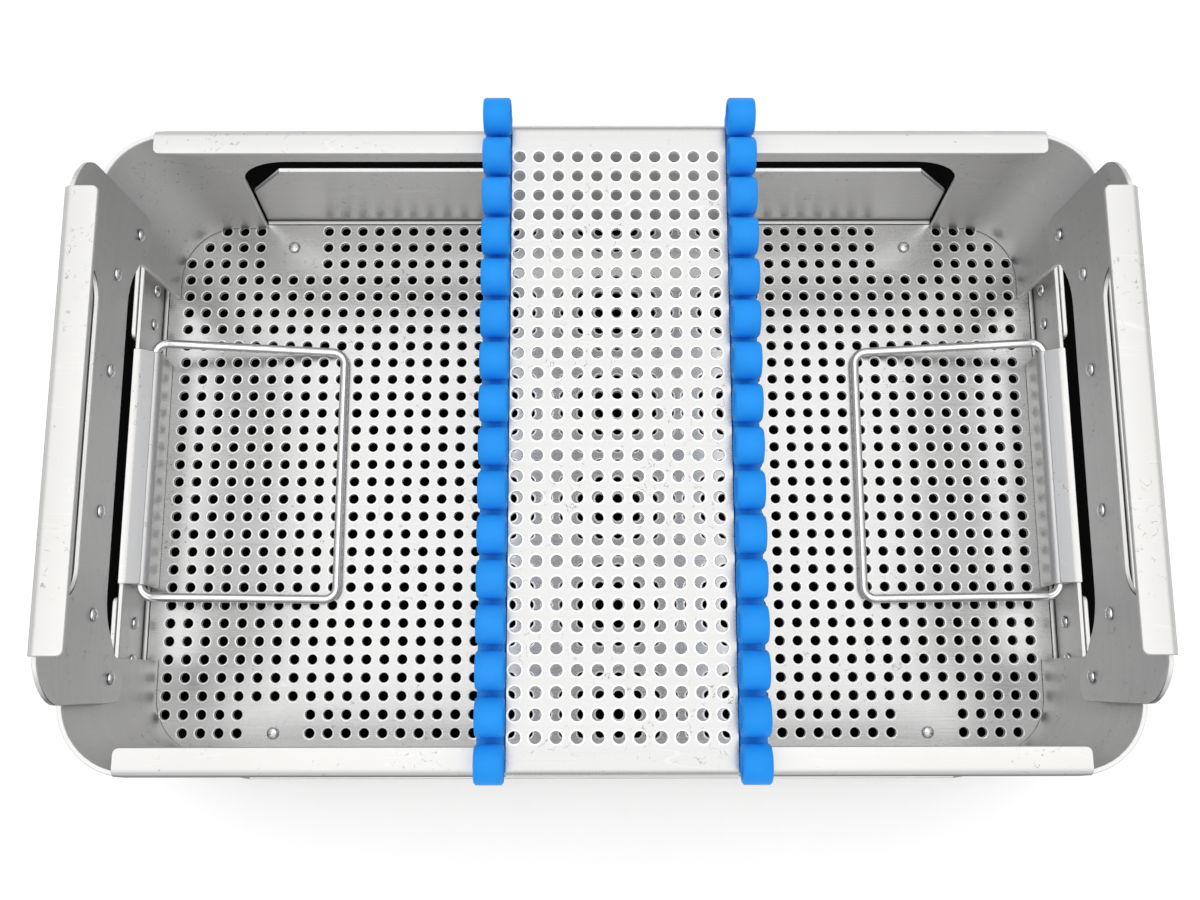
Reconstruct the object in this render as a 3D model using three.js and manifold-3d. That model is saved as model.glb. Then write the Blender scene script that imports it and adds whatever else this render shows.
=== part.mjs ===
// Sterilization basket: perforated floor tray, cut-out wall ring, riveted end plates with hand
// slots, two drop handles of wire, and a lift-off perforated bridge with silicone roll strips.
// Millimetres, +X along the basket, +Y to the back, +Z up, origin under the middle of the feet.
import * as THREE from 'three';
import { mergeVertices } from 'three/addons/utils/BufferGeometryUtils.js';
import Module from 'manifold-3d';

const wasm = await Module();
wasm.setup();

// Clearances and cutting
const seam = 0.3; // gap kept between two pieces that touch
const wireClearance = 0.5; // running gap around a handle's pivot bar
const overrun = 6; // how far a cutter reaches past what it cuts

// Wall ring
const basketLength = 406;
const basketWidth = 253;
const wallSheet = 2;
const cornerRadius = 28;
const wallHeight = 102.5; // floor's top face to the ring's upper edge
const rimHeight = 107; // floor's top face to the top of the inward rims
const rimDepth = 11; // outer wall face to the rim's inner edge
const rimHalfLength = 179.5;
const rimBendRadius = 1.5; // inside radius of the folded rims
const sideOpeningHalf = 160.9; // half width of the front and back cut-outs at the floor
const sideOpeningLean = 4.4; // how far their sides lean in up to the round corner
const sideOpeningShoulder = 54.5; // height at which the round corner starts
const sideOpeningHeight = 78.5;
const sideOpeningRadius = 23.4;
const archHalf = 85.5; // half width of the end cut-outs
const archHeight = 71.5;
const archRadius = 25.5;

// Floor tray
const footHeight = 6;
const floorSheet = 2;
const holePitch = 8.2;
const holeDiameter = 4.4;
const holeColumns = 49;
const holeRows = 30;
const holeStrideColumns = 4; // cut holes stand at true places of the full grid, one in so many
const holeStrideRows = 3;
const holeStartColumns = 2; // the first column and row of them
const holeStartRows = 1;
const blankInnerColumns = 17; // plain patches for the feet lie in these columns
const blankOuterColumns = 19;
const blankRows = 3;
const footColumns = 18;
const flangeBend = 2; // inside radius of the turned-up flanges
const endFlangeGap = 5.6; // wall's outer face to the end flange's inner face
const sideFlangeGap = 2;
const endFlangeHeight = 28.5;
const endFlangeHalf = 98;
const sideFlangeHeight = 58.4;
const sideFlangeHalf = sideOpeningHalf; // a flange fills its opening
const sideFlangeShoulder = 36.2; // height at which the slanted corner starts
const sideFlangeLean = 2.9;
const sideFlangeChamfer = 16.5;
const doublerSheet = 2;
const doublerInner = 58.5; // where a doubler starts, from the middle of the end
const doublerLift = 2; // lowest edge of a doubler above the floor's top face

// End plates
const plateSheet = 2;
const endShift = 3.2; // fittings of both ends sit this far behind the middle
const plateHalf = 103.6;
const plateTop = 131.5;
const plateRimTop = 137.5;
const plateRimHalf = 86.5;
const plateRimDepth = 13.5;
const plateCornerRadius = 16;
const plateCrease = 89; // where its wings are bent in, clear of the wall's round corner
const plateWingSet = 2; // how far a wing's edge is bent in
const plateTabDrop = 20; // arch's crown down to the tabs' lowest edge
const plateTabInner = 88; // where a tab ends, from the middle of the end
const plateTabRadius = 10;
const plateShoulderOut = 79; // where the lower edge meets the arch's crown line
const slotHalf = 64.5;
const slotBottom = 101.5;
const slotTop = 127;
const slotRadius = 12;

// Rivets
const rivetHeadRadius = 2.75;
const rivetHeadHeight = 1.5;
const rivetShankRadius = 1.6;
const rivetTailRadius = 2.4;
const rivetTailHeight = 1;
const upperRivetRise = 13.5; // arch's crown to the upper row
const upperRivetPlaces = [-69.4, -28.7, 28.7, 69.4];
const lowerRivetDrop = 6.3; // arch's crown down to the lowest rivets
const lowerRivetPlace = 93.7;
const flangeRivetHeight = 12.5;
const flangeRivetPlaces = [69.3, 85.7];

// Brackets, clasps and drop handles
const bracketSheet = 1.5;
const bracketHalf = 53;
const bracketBend = 0.5; // inside radius between its flat and its sloping leaf
const bracketSlope = 38; // degrees
const bracketTip = 5.7; // flange's inner face to the tip of the sloping leaf
const claspLean = 2.6; // how far the clasp's leaf leans in from foot to roll
const rollFineness = 2; // a clasp's roll has so many times the usual steps
const claspRollEnd = -70; // degrees below level at which the roll ends on the outer side
const wireRadius = 2;
const pivotHeight = 20.1;
const armLength = 85.4;
const handleHalf = 58.2;
const handleBend = 5.5; // radius of the wire's corners on its centre line

// Feet
const footRadius = 8;
const footLowerRadius = 6.5;
const footChamfer = 2;
const footPocketRadius = 4.2;
const footPocketDepth = 2.6;

// Bridge plate and silicone strips
const bridgeX = 7; // middle of the bridge along the basket
const bridgeHalf = 42.5; // middle of the bridge to the strips' inner faces
const bridgeSheet = 1.5;
const bridgeRise = 5; // rims' top to the plate's top face
const bridgeBend = 2.5; // inside radius of the turned-down ends
const bridgeHoleX = 5.9; // middle of its holes along the basket
const bridgePitchX = 7.63;
const bridgePitchY = 8;
const bridgeColumns = 11;
const bridgeRows = 29;
const bridgeStrideRows = 3;
const bridgeStartRows = 1;
const stripWidth = 10.5;
const stripBaseHeight = 4;
const stripShift = 2.6; // strips sit this far behind the middle
const loopCount = 16;
const loopPitch = 16.5;
const loopRadius = 7.25;
const loopBore = 4.7;
const loopLift = 6; // base's top face to a loop's middle
const tongueDepth = 1; // how far the strip reaches under the plate
const tongueSetback = 14; // tongue's ends, measured in from the basket's outer faces

// Fineness of round shapes, in counts
const arcSteps = 5;
const edgeSteps = 2;
const domeSteps = 2;
const holeSides = 6;
const rivetSides = 6;
const loopSteps = 9;
const boreSteps = 5;
const wireSides = 8;
const footSides = 12;

// Colours
const brushedSteel = { color: 0xb9bab8, roughness: 0.42, metalness: 1 };
const perforatedSteel = { color: 0xc9cac8, roughness: 0.38, metalness: 1 };
const polishedSteel = { color: 0xd6d8da, roughness: 0.18, metalness: 1 };
const silicone = { color: 0x1e86ea, roughness: 0.5, metalness: 0 };

// Worked-out planes and places
const half = 1 / 2;
const halfTurn = 180;
const deck = footHeight + floorSheet;
const wallOuterX = basketLength * half;
const wallOuterY = basketWidth * half;
const wallInnerX = wallOuterX - wallSheet;
const wallInnerY = wallOuterY - wallSheet;
const endFlangeX = wallOuterX + endFlangeGap;
const sideFlangeY = wallOuterY + sideFlangeGap;
const holeRadius = holeDiameter * half;
const plateX = wallInnerX - seam;
const rimTopZ = deck + rimHeight;
const footX = footColumns * holePitch;
const footY = (holeRows - 2) * half * holePitch;
const pivotX = endFlangeX - seam - bracketSheet - wireClearance - wireRadius;
const bridgeTopZ = rimTopZ + bridgeRise;

const basket = new THREE.Group();

function addPiece(name, geometry, finish, place = basket) {
  const mesh = new THREE.Mesh(geometry, new THREE.MeshStandardMaterial(finish));
  mesh.name = name;
  place.add(mesh);
  return mesh;
}

// Solids for joins and cuts
function toSolid(geometry) {
  const bare = geometry.clone();
  bare.deleteAttribute('normal');
  bare.deleteAttribute('uv');
  const merged = mergeVertices(bare);
  const vertProperties = new Float32Array(merged.attributes.position.array);
  const triVerts = new Uint32Array(merged.index.array);
  return new wasm.Manifold(new wasm.Mesh({ numProp: 3, vertProperties, triVerts }));
}

function toGeometry(body) {
  const mesh = body.getMesh();
  const geometry = new THREE.BufferGeometry();
  geometry.setAttribute('position', new THREE.BufferAttribute(mesh.vertProperties, mesh.numProp));
  geometry.setIndex(new THREE.BufferAttribute(mesh.triVerts, 1));
  const faceted = geometry.toNonIndexed();
  faceted.computeVertexNormals();
  return faceted;
}

// Prisms along each axis: the outline is drawn in the two other axes, in their usual order
function prismZ(shape, from, to, steps = arcSteps) {
  const prism = new THREE.ExtrudeGeometry(shape, extrusion(to - from, steps));
  return prism.translate(0, 0, from);
}

function prismX(shape, from, to, steps = arcSteps) {
  const prism = new THREE.ExtrudeGeometry(shape, extrusion(to - from, steps));
  const alongY = new THREE.Vector3(0, 1, 0);
  const alongZ = new THREE.Vector3(0, 0, 1);
  const turn = new THREE.Matrix4().makeBasis(alongY, alongZ, new THREE.Vector3(1, 0, 0));
  return prism.applyMatrix4(turn).translate(from, 0, 0);
}

function prismY(shape, from, to, steps = arcSteps) {
  const prism = new THREE.ExtrudeGeometry(shape, extrusion(to - from, steps));
  const alongX = new THREE.Vector3(1, 0, 0);
  const alongZ = new THREE.Vector3(0, 0, 1);
  const turn = new THREE.Matrix4().makeBasis(alongX, alongZ, new THREE.Vector3(0, -1, 0));
  return prism.applyMatrix4(turn).translate(0, to, 0);
}

function extrusion(depth, curveSegments) {
  return { depth, steps: 1, curveSegments, bevelEnabled: false };
}

function outline(points) {
  return new THREE.Shape(points.map(([u, v]) => new THREE.Vector2(u, v)));
}

function rectangle(left, right, low, high) {
  return outline([[left, low], [right, low], [right, high], [left, high]]);
}

function roundedRectangle(left, right, low, high, radius) {
  const quarter = Math.PI * half;
  const shape = new THREE.Shape();
  shape.absarc(right - radius, low + radius, radius, -quarter, 0);
  shape.absarc(right - radius, high - radius, radius, 0, quarter);
  shape.absarc(left + radius, high - radius, radius, quarter, Math.PI);
  shape.absarc(left + radius, low + radius, radius, Math.PI, Math.PI + quarter);
  return shape;
}

// Points of an arc, first and last included, angles in degrees
function arc(cu, cv, radius, from, to, steps = arcSteps) {
  const points = [];
  for (let i = 0; i <= steps; i += 1) {
    const angle = THREE.MathUtils.degToRad(from + ((to - from) * i) / steps);
    points.push([cu + radius * Math.cos(angle), cv + radius * Math.sin(angle)]);
  }
  return points;
}

// Outline of a bent sheet from the line through the middle of its thickness
function bentSheet(line, sheet) {
  const left = [];
  const right = [];
  line.forEach(([u, v], i) => {
    const [au, av] = line[Math.max(i - 1, 0)];
    const [bu, bv] = line[Math.min(i + 1, line.length - 1)];
    const before = new THREE.Vector2(u - au, v - av).normalize();
    const after = new THREE.Vector2(bu - u, bv - v).normalize();
    if (before.length() === 0) before.copy(after);
    if (after.length() === 0) after.copy(before);
    const along = before.clone().add(after).normalize();
    const reach = (sheet * half) / Math.max(along.dot(before), half);
    left.push([u - along.y * reach, v + along.x * reach]);
    right.push([u + along.y * reach, v - along.x * reach]);
  });
  return outline([...right, ...left.reverse()]);
}

function polygonHole(x, y, radius, sides, low, high) {
  const points = [];
  for (let i = 0; i < sides; i += 1) {
    const angle = (Math.PI * 2 * (i + half)) / sides;
    points.push([x + radius * Math.cos(angle), y + radius * Math.sin(angle)]);
  }
  return prismZ(outline(points), low, high);
}

function cutAll(body, cutters) {
  return cutters.reduce((rest, cutter) => rest.subtract(toSolid(cutter)), body);
}

// Rivet along +X from its seat: the domed head lies on the side the axis comes from
function rivet(grip) {
  const dome = arc(0, 0, 1, 0, 90, domeSteps).map(([r, h]) => [r * rivetHeadRadius, h * rivetHeadHeight]);
  const profile = dome.map(([r, h]) => new THREE.Vector2(r, -h)).reverse();
  profile.push(new THREE.Vector2(rivetShankRadius, 0));
  profile.push(new THREE.Vector2(rivetShankRadius, grip));
  profile.push(new THREE.Vector2(rivetTailRadius, grip));
  profile.push(new THREE.Vector2(rivetTailRadius, grip + rivetTailHeight));
  profile.push(new THREE.Vector2(0, grip + rivetTailHeight));
  profile[0].x = 0;
  return new THREE.LatheGeometry(profile, rivetSides).rotateZ(-Math.PI * half);
}

// Hole for a rivet's shank along X through the sheets of one end
function rivetBore(side, y, z) {
  const radius = rivetShankRadius + seam;
  const points = [];
  for (let i = 0; i < rivetSides; i += 1) {
    const angle = (Math.PI * 2 * i) / rivetSides;
    points.push([y + radius * Math.cos(angle), z + radius * Math.sin(angle)]);
  }
  const reach = endFlangeX + overrun;
  const inside = wallInnerX - overrun;
  return prismX(outline(points), side > 0 ? inside : -reach, side > 0 ? reach : -inside);
}

const plateRivets = [
  ...upperRivetPlaces.map((y) => [y, deck + archHeight + upperRivetRise]),
  [-lowerRivetPlace, deck + archHeight - lowerRivetDrop],
  [lowerRivetPlace, deck + archHeight - lowerRivetDrop],
];
const flangeRivets = [-1, 1].flatMap((way) =>
  flangeRivetPlaces.map((y) => [way * y, deck + flangeRivetHeight]),
);
const placeNames = ['a', 'b', 'c', 'd', 'e', 'f'];
const ends = [['left', -1], ['right', 1]];

// Floor sheet with its perforation, plain patches and foot rivet holes
function floorHoles() {
  const holes = [];
  const middleColumn = (holeColumns - 1) * half;
  const middleRow = holeRows * half - 1;
  for (let i = holeStartColumns; i < holeColumns; i += holeStrideColumns) {
    for (let j = holeStartRows; j < holeRows; j += holeStrideRows) {
      const column = Math.abs(i - middleColumn);
      const patchColumn = column >= blankInnerColumns && column <= blankOuterColumns;
      const patchRow = j < blankRows - 1 || j >= holeRows - blankRows;
      if (patchColumn && patchRow) continue;
      const x = (i - middleColumn) * holePitch;
      const y = (j - middleRow) * holePitch;
      holes.push(polygonHole(x, y, holeRadius, holeSides, footHeight - overrun, deck + overrun));
    }
  }
  return holes;
}

const floorHalfX = endFlangeX - flangeBend - seam;
const floorHalfY = sideFlangeY - flangeBend - seam;
const floorOutline = roundedRectangle(-floorHalfX, floorHalfX, -floorHalfY, floorHalfY, cornerRadius);
const footBores = [-1, 1].flatMap((wx) =>
  [-1, 1].map((wy) => {
    const bore = rivetShankRadius + seam;
    return polygonHole(wx * footX, wy * footY, bore, rivetSides, footHeight - overrun, deck + overrun);
  }),
);
const floorSolid = cutAll(toSolid(prismZ(floorOutline, footHeight, deck)), [
  ...floorHoles(),
  ...footBores,
]);
addPiece('floor_sheet', toGeometry(floorSolid), perforatedSteel);

// Turned-up flanges: a quarter bend and a leaf, drawn in (outward, up) from the bend's start
function flangeLine(start, height) {
  const middle = flangeBend + floorSheet * half;
  const bend = arc(start, deck + flangeBend, middle, -90, 0);
  return bentSheet([...bend, [start + middle, deck + height]], floorSheet);
}

const endFlangeProfile = flangeLine(endFlangeX - flangeBend, endFlangeHeight);
const sideFlangeProfile = flangeLine(sideFlangeY - flangeBend, sideFlangeHeight);

// A piece drawn for the right-hand end, turned about for the left one and set back
function atEnd(geometry, side) {
  if (side < 0) geometry.rotateZ(Math.PI);
  return geometry.translate(0, endShift, 0);
}

for (const [name, side] of ends) {
  const strip = prismY(endFlangeProfile, -endFlangeHalf, endFlangeHalf);
  const bores = flangeRivets.map(([y, z]) => rivetBore(1, y, z));
  addPiece(`${name}_flange`, atEnd(toGeometry(cutAll(toSolid(strip), bores)), side), brushedSteel);
}

const flangeTopZ = deck + sideFlangeHeight;
const flangeShoulderZ = deck + sideFlangeShoulder;
const flangeShoulderX = sideFlangeHalf - sideFlangeLean;
const flangeTopX = flangeShoulderX - sideFlangeChamfer;
const flangeFace = outline([
  [-sideFlangeHalf, footHeight - overrun],
  [sideFlangeHalf, footHeight - overrun],
  [sideFlangeHalf, deck],
  [flangeShoulderX, flangeShoulderZ],
  [flangeTopX, flangeTopZ + seam],
  [-flangeTopX, flangeTopZ + seam],
  [-flangeShoulderX, flangeShoulderZ],
  [-sideFlangeHalf, deck],
]);

for (const [name, side] of [['front', -1], ['back', 1]]) {
  const strip = prismX(sideFlangeProfile, -sideFlangeHalf - overrun, sideFlangeHalf + overrun);
  const face = toSolid(prismY(flangeFace, wallOuterY, sideFlangeY + floorSheet + overrun));
  const flange = toGeometry(toSolid(strip).intersect(face));
  if (side < 0) flange.rotateZ(Math.PI);
  addPiece(`${name}_flange`, flange, brushedSteel);
}

// Doublers riveted outside the end flanges
const doublerX = endFlangeX + floorSheet + seam;
for (const [name, side] of ends) {
  for (const [where, way] of [['front', -side], ['back', side]]) {
    const near = Math.min(way * doublerInner, way * endFlangeHalf);
    const far = Math.max(way * doublerInner, way * endFlangeHalf);
    const low = deck + doublerLift;
    const leaf = roundedRectangle(near, far, low, deck + endFlangeHeight, doublerSheet);
    const body = toSolid(prismX(leaf, doublerX, doublerX + doublerSheet, edgeSteps));
    const bores = flangeRivets.map(([y, z]) => rivetBore(1, y, z));
    addPiece(`${name}_${where}_doubler`, atEnd(toGeometry(cutAll(body, bores)), side), brushedSteel);
  }
}

// Wall ring: four bands over the openings and four corner posts between them
function ringPlan() {
  const inner = cornerRadius - wallSheet;
  const plan = roundedRectangle(-wallOuterX, wallOuterX, -wallOuterY, wallOuterY, cornerRadius);
  plan.holes.push(roundedRectangle(-wallInnerX, wallInnerX, -wallInnerY, wallInnerY, inner));
  return plan;
}

// Section of the folded rim, drawn in (back, up)
function rimProfile() {
  const middle = wallOuterY - wallSheet * half;
  const bend = rimBendRadius + wallSheet * half;
  const crown = rimTopZ - wallSheet * half;
  return bentSheet(
    [
      [middle, deck + sideOpeningHeight],
      ...arc(middle - bend, crown - bend, bend, 0, 90),
      [wallOuterY - rimDepth, crown],
    ],
    wallSheet,
  );
}

function sideOpening() {
  const shoulderZ = deck + sideOpeningShoulder;
  const shoulderX = sideOpeningHalf - sideOpeningLean;
  const crownZ = deck + sideOpeningHeight;
  const rise = crownZ - shoulderZ;
  const cornerX = shoulderX - sideOpeningRadius;
  const corner = arc(0, 0, 1, 0, 90).map(([u, v]) => [
    cornerX + u * sideOpeningRadius,
    shoulderZ + v * rise,
  ]);
  return outline([
    [-sideOpeningHalf, 0],
    [sideOpeningHalf, 0],
    [sideOpeningHalf, deck],
    ...corner,
    ...corner.map(([x, z]) => [-x, z]).reverse(),
    [-sideOpeningHalf, deck],
  ]);
}

function archOutline() {
  const crownZ = deck + archHeight;
  const cornerY = archHalf - archRadius;
  return outline([
    [-archHalf, 0],
    [archHalf, 0],
    ...arc(cornerY, crownZ - archRadius, archRadius, 0, 90),
    ...arc(-cornerY, crownZ - archRadius, archRadius, 90, 180),
  ]);
}

function wholeRing() {
  const walls = toSolid(prismZ(ringPlan(), deck + seam, deck + wallHeight));
  const rim = prismX(rimProfile(), -rimHalfLength, rimHalfLength);
  const backRim = toSolid(rim);
  const frontRim = toSolid(rim.clone().rotateZ(Math.PI));
  const through = wallOuterY + overrun;
  const reach = wallOuterX + overrun;
  const arches = prismX(archOutline(), -reach, reach).translate(0, endShift, 0);
  const bores = ends.flatMap(([, side]) =>
    plateRivets.map(([y, z]) => rivetBore(side, y, z).translate(0, endShift, 0)),
  );
  const openings = prismY(sideOpening(), -through, through);
  return cutAll(walls.add(backRim).add(frontRim), [openings, arches, ...bores]);
}

// The part of the ring inside an upright block given by its sides in plan
function ringBlock(left, right, front, back) {
  return ring.intersect(toSolid(prismZ(rectangle(left, right, front, back), 0, deck + rimHeight + overrun)));
}

const ring = wholeRing();
const bandHalfX = sideOpeningHalf - sideOpeningLean - sideOpeningRadius;
const bandHalfY = archHalf - archRadius;
const postX = bandHalfX + seam;
const postY = bandHalfY + seam;
const beyondX = wallOuterX + overrun;
const beyondY = wallOuterY + overrun;
for (const [name, way] of [['front', -1], ['back', 1]]) {
  const low = Math.min(way * beyondY, 0);
  addPiece(`${name}_wall`, toGeometry(ringBlock(-bandHalfX, bandHalfX, low, low + beyondY)), brushedSteel);
}
for (const [name, side] of ends) {
  const low = Math.min(side * beyondX, 0);
  const band = ringBlock(low, low + beyondX, endShift - bandHalfY, endShift + bandHalfY);
  addPiece(`${name}_wall`, toGeometry(band), brushedSteel);
  const near = Math.min(side * postX, side * beyondX);
  const far = Math.max(side * postX, side * beyondX);
  const frontPost = ringBlock(near, far, -beyondY, endShift - postY);
  addPiece(`${name}_front_corner`, toGeometry(frontPost), brushedSteel);
  const backPost = ringBlock(near, far, endShift + postY, beyondY);
  addPiece(`${name}_back_corner`, toGeometry(backPost), brushedSteel);
}

// End plates: riveted inside the end walls, with hand slot and folded rim
function plateOutline() {
  const crown = deck + archHeight;
  const bottom = crown - plateTabDrop;
  const tabMiddle = plateHalf - plateTabRadius;
  const tabCorner = plateTabRadius * half;
  const side = [
    [plateShoulderOut, crown - (plateTabInner - plateShoulderOut)],
    ...arc(plateTabInner + tabCorner, bottom + tabCorner, tabCorner, 180, 270, edgeSteps),
    ...arc(tabMiddle, bottom + plateTabRadius, plateTabRadius, -90, 0),
    ...arc(plateHalf - plateCornerRadius, deck + plateTop - plateCornerRadius, plateCornerRadius, 0, 90),
  ];
  const crownEnd = [archHalf - archRadius, crown];
  return outline([
    crownEnd,
    ...side,
    ...side.map(([y, z]) => [-y, z]).reverse(),
    [-crownEnd[0], crownEnd[1]],
  ]);
}

function plateRimProfile() {
  const middle = plateX - plateSheet * half;
  const bend = rimBendRadius + plateSheet * half;
  const crown = deck + plateRimTop - plateSheet * half;
  return bentSheet(
    [
      [middle, deck + slotBottom],
      ...arc(middle - bend, crown - bend, bend, 0, 90),
      [plateX - plateRimDepth, crown],
    ],
    plateSheet,
  );
}

// How far the bent wings lie inward at a place along the plate
function wingSet(y) {
  const slope = plateWingSet / (plateHalf - plateCrease);
  return Math.max(Math.abs(y) - plateCrease, 0) * slope;
}

// Plan of the sheet: flat between the creases, with both wings bent in
function platePlan() {
  const middle = plateX - plateSheet * half;
  const edge = plateHalf + overrun;
  const set = wingSet(edge);
  return bentSheet(
    [
      [middle - set, -edge],
      [middle, -plateCrease],
      [middle, plateCrease],
      [middle - set, edge],
    ],
    plateSheet,
  );
}

function endPlate() {
  const face = toSolid(prismX(plateOutline(), plateX - plateSheet - overrun, plateX + overrun));
  const leaf = toSolid(prismZ(platePlan(), deck, deck + plateRimTop)).intersect(face);
  const rim = toSolid(prismY(plateRimProfile(), -plateRimHalf, plateRimHalf));
  const slotShape = roundedRectangle(-slotHalf, slotHalf, deck + slotBottom, deck + slotTop, slotRadius);
  const slot = prismX(slotShape, plateX - plateSheet - overrun, plateX + overrun);
  const arch = prismX(archOutline(), plateX - plateSheet - overrun, plateX + overrun);
  const bores = plateRivets.map(([y, z]) => rivetBore(1, y, z));
  return cutAll(leaf.add(rim), [slot, arch, ...bores]);
}

for (const [name, side] of ends) {
  addPiece(`${name}_end_plate`, atEnd(toGeometry(endPlate()), side), brushedSteel);
}

// Rivets of the end plates and of the flange doublers
const plateGrip = plateSheet + seam + wallSheet + seam * 2;
const flangeGrip = floorSheet + seam + doublerSheet + seam * 2;
for (const [name, side] of ends) {
  plateRivets.forEach(([y, z], i) => {
    const set = Math.abs(y) > plateCrease ? wingSet(Math.abs(y) + rivetHeadRadius) : 0;
    const pin = rivet(plateGrip + set);
    const piece = addPiece(`${name}_plate_rivet_${placeNames[i]}`, pin, polishedSteel);
    piece.rotation.z = side > 0 ? 0 : Math.PI;
    piece.position.set(side * (plateX - plateSheet - seam - set), endShift + y, z);
  });
  flangeRivets.forEach(([y, z], i) => {
    const piece = addPiece(`${name}_flange_rivet_${placeNames[i]}`, rivet(flangeGrip), polishedSteel);
    piece.rotation.z = side > 0 ? 0 : Math.PI;
    piece.position.set(side * (endFlangeX - seam), endShift + y, z);
  });
}

// Brackets: a flat laid along the end flange's upper edge, its leaf sloping in above the pivot
function bracketProfile() {
  const middle = bracketBend + bracketSheet * half;
  const crown = deck + endFlangeHeight + seam + bracketSheet * half;
  const bend = arc(endFlangeX, crown - middle, middle, 90, 90 + bracketSlope, edgeSteps);
  const [rootX, rootZ] = bend[bend.length - 1];
  const run = rootX - endFlangeX + bracketTip;
  const drop = run * Math.tan(THREE.MathUtils.degToRad(bracketSlope));
  return bentSheet(
    [[endFlangeX + floorSheet, crown], ...bend, [rootX - run, rootZ - drop]],
    bracketSheet,
  );
}

// Clasps: a leaf standing on the floor, rolled over the handle's pivot bar
function claspProfile() {
  const rollRadius = wireRadius + wireClearance + bracketSheet * half;
  const pivotZ = deck + pivotHeight;
  const footX = pivotX - rollRadius + claspLean;
  const tilt = THREE.MathUtils.radToDeg(Math.atan2(claspLean, pivotHeight));
  return bentSheet(
    [
      [footX, deck + seam],
      ...arc(pivotX, pivotZ, rollRadius, halfTurn + tilt, claspRollEnd, arcSteps * rollFineness),
    ],
    bracketSheet,
  );
}

for (const [name, side] of ends) {
  const bracket = prismY(bracketProfile(), -bracketHalf, bracketHalf);
  addPiece(`${name}_bracket`, atEnd(bracket, side), brushedSteel);
  const clasp = prismY(claspProfile(), -bracketHalf, bracketHalf);
  addPiece(`${name}_clasp`, atEnd(clasp, side), brushedSteel);
}

// Drop handles: a ring of wire in one plane, its ends meeting inside the curl
function handleRoute() {
  const quarterTurns = [
    [handleBend, handleHalf - handleBend, 180, 90],
    [armLength - handleBend, handleHalf - handleBend, 90, 0],
    [armLength - handleBend, -handleHalf + handleBend, 0, -90],
    [handleBend, -handleHalf + handleBend, -90, -180],
  ];
  const corners = quarterTurns.flatMap(([u, v, from, to]) => arc(u, v, handleBend, from, to));
  return [[0, seam * half], ...corners, [0, -seam * half]];
}

function wireLoop(route, radius, sides) {
  const positions = [];
  const index = [];
  route.forEach(([u, v], i) => {
    const [au, av] = route[Math.max(i - 1, 0)];
    const [bu, bv] = route[Math.min(i + 1, route.length - 1)];
    const along = new THREE.Vector2(bu - au, bv - av).normalize();
    for (let k = 0; k < sides; k += 1) {
      const angle = (Math.PI * 2 * k) / sides;
      const out = radius * Math.cos(angle);
      positions.push(u + along.y * out, v - along.x * out, radius * Math.sin(angle));
    }
  });
  const last = route.length - 1;
  for (let i = 0; i < last; i += 1) {
    for (let k = 0; k < sides; k += 1) {
      const next = (k + 1) % sides;
      const a = i * sides + k;
      const b = i * sides + next;
      const c = a + sides;
      const d = b + sides;
      index.push(a, c, b, b, c, d);
    }
  }
  for (let k = 1; k < sides - 1; k += 1) {
    index.push(0, k, k + 1);
    index.push(last * sides, last * sides + k + 1, last * sides + k);
  }
  const geometry = new THREE.BufferGeometry();
  geometry.setAttribute('position', new THREE.Float32BufferAttribute(positions, 3));
  geometry.setIndex(index);
  geometry.computeVertexNormals();
  return geometry;
}

const restAngle = Math.asin((pivotHeight - wireRadius - seam) / armLength);
for (const [name, side] of ends) {
  const pivot = new THREE.Group();
  pivot.position.set(side * pivotX, endShift, deck + pivotHeight);
  pivot.rotation.y = -side * restAngle;
  basket.add(pivot);
  const loop = wireLoop(handleRoute(), wireRadius, wireSides);
  if (side > 0) loop.rotateZ(Math.PI);
  addPiece(`${name}_handle`, loop, polishedSteel, pivot);
}

// Feet and their rivets
function footGeometry() {
  const high = footHeight - seam;
  const bore = rivetShankRadius + seam;
  const profile = [
    [bore, high],
    [bore, footPocketDepth],
    [footPocketRadius, footPocketDepth],
    [footPocketRadius, 0],
    [footLowerRadius, 0],
    [footRadius, footChamfer],
    [footRadius, high],
    [bore, high],
  ];
  const points = profile.map(([r, z]) => new THREE.Vector2(r, z));
  return new THREE.LatheGeometry(points, footSides).rotateX(Math.PI * half);
}

function footRivetGeometry() {
  const grip = deck + seam - (footPocketDepth - seam);
  const stretched = rivet(grip);
  return stretched.rotateY(Math.PI * half).translate(0, 0, deck + seam);
}

for (const [name, side] of ends) {
  for (const [where, way] of [['front', -1], ['back', 1]]) {
    const foot = addPiece(`${name}_${where}_foot`, footGeometry(), brushedSteel);
    foot.position.set(side * footX, way * footY, 0);
    const pin = addPiece(`${name}_${where}_foot_rivet`, footRivetGeometry(), polishedSteel);
    pin.position.set(side * footX, way * footY, 0);
  }
}

// Bridge plate: flat perforated field with both ends turned down onto the rims
function bridgeProfile() {
  const middle = bridgeTopZ - bridgeSheet * half;
  const bend = bridgeBend + bridgeSheet * half;
  const endY = wallOuterY - bridgeSheet * half;
  const foot = rimTopZ + seam;
  return bentSheet(
    [
      [-endY, foot],
      ...arc(-endY + bend, middle - bend, bend, 180, 90),
      ...arc(endY - bend, middle - bend, bend, 90, 0),
      [endY, foot],
    ],
    bridgeSheet,
  );
}

function bridgeHoles() {
  const holes = [];
  const low = bridgeTopZ - bridgeSheet - seam;
  const high = bridgeTopZ + seam;
  for (let i = 0; i < bridgeColumns; i += 1) {
    for (let j = bridgeStartRows; j < bridgeRows; j += bridgeStrideRows) {
      const x = bridgeHoleX + (i - (bridgeColumns - 1) * half) * bridgePitchX;
      const y = (j - (bridgeRows - 1) * half) * bridgePitchY;
      holes.push(polygonHole(x, y, holeRadius, holeSides, low, high));
    }
  }
  return holes;
}

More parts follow.
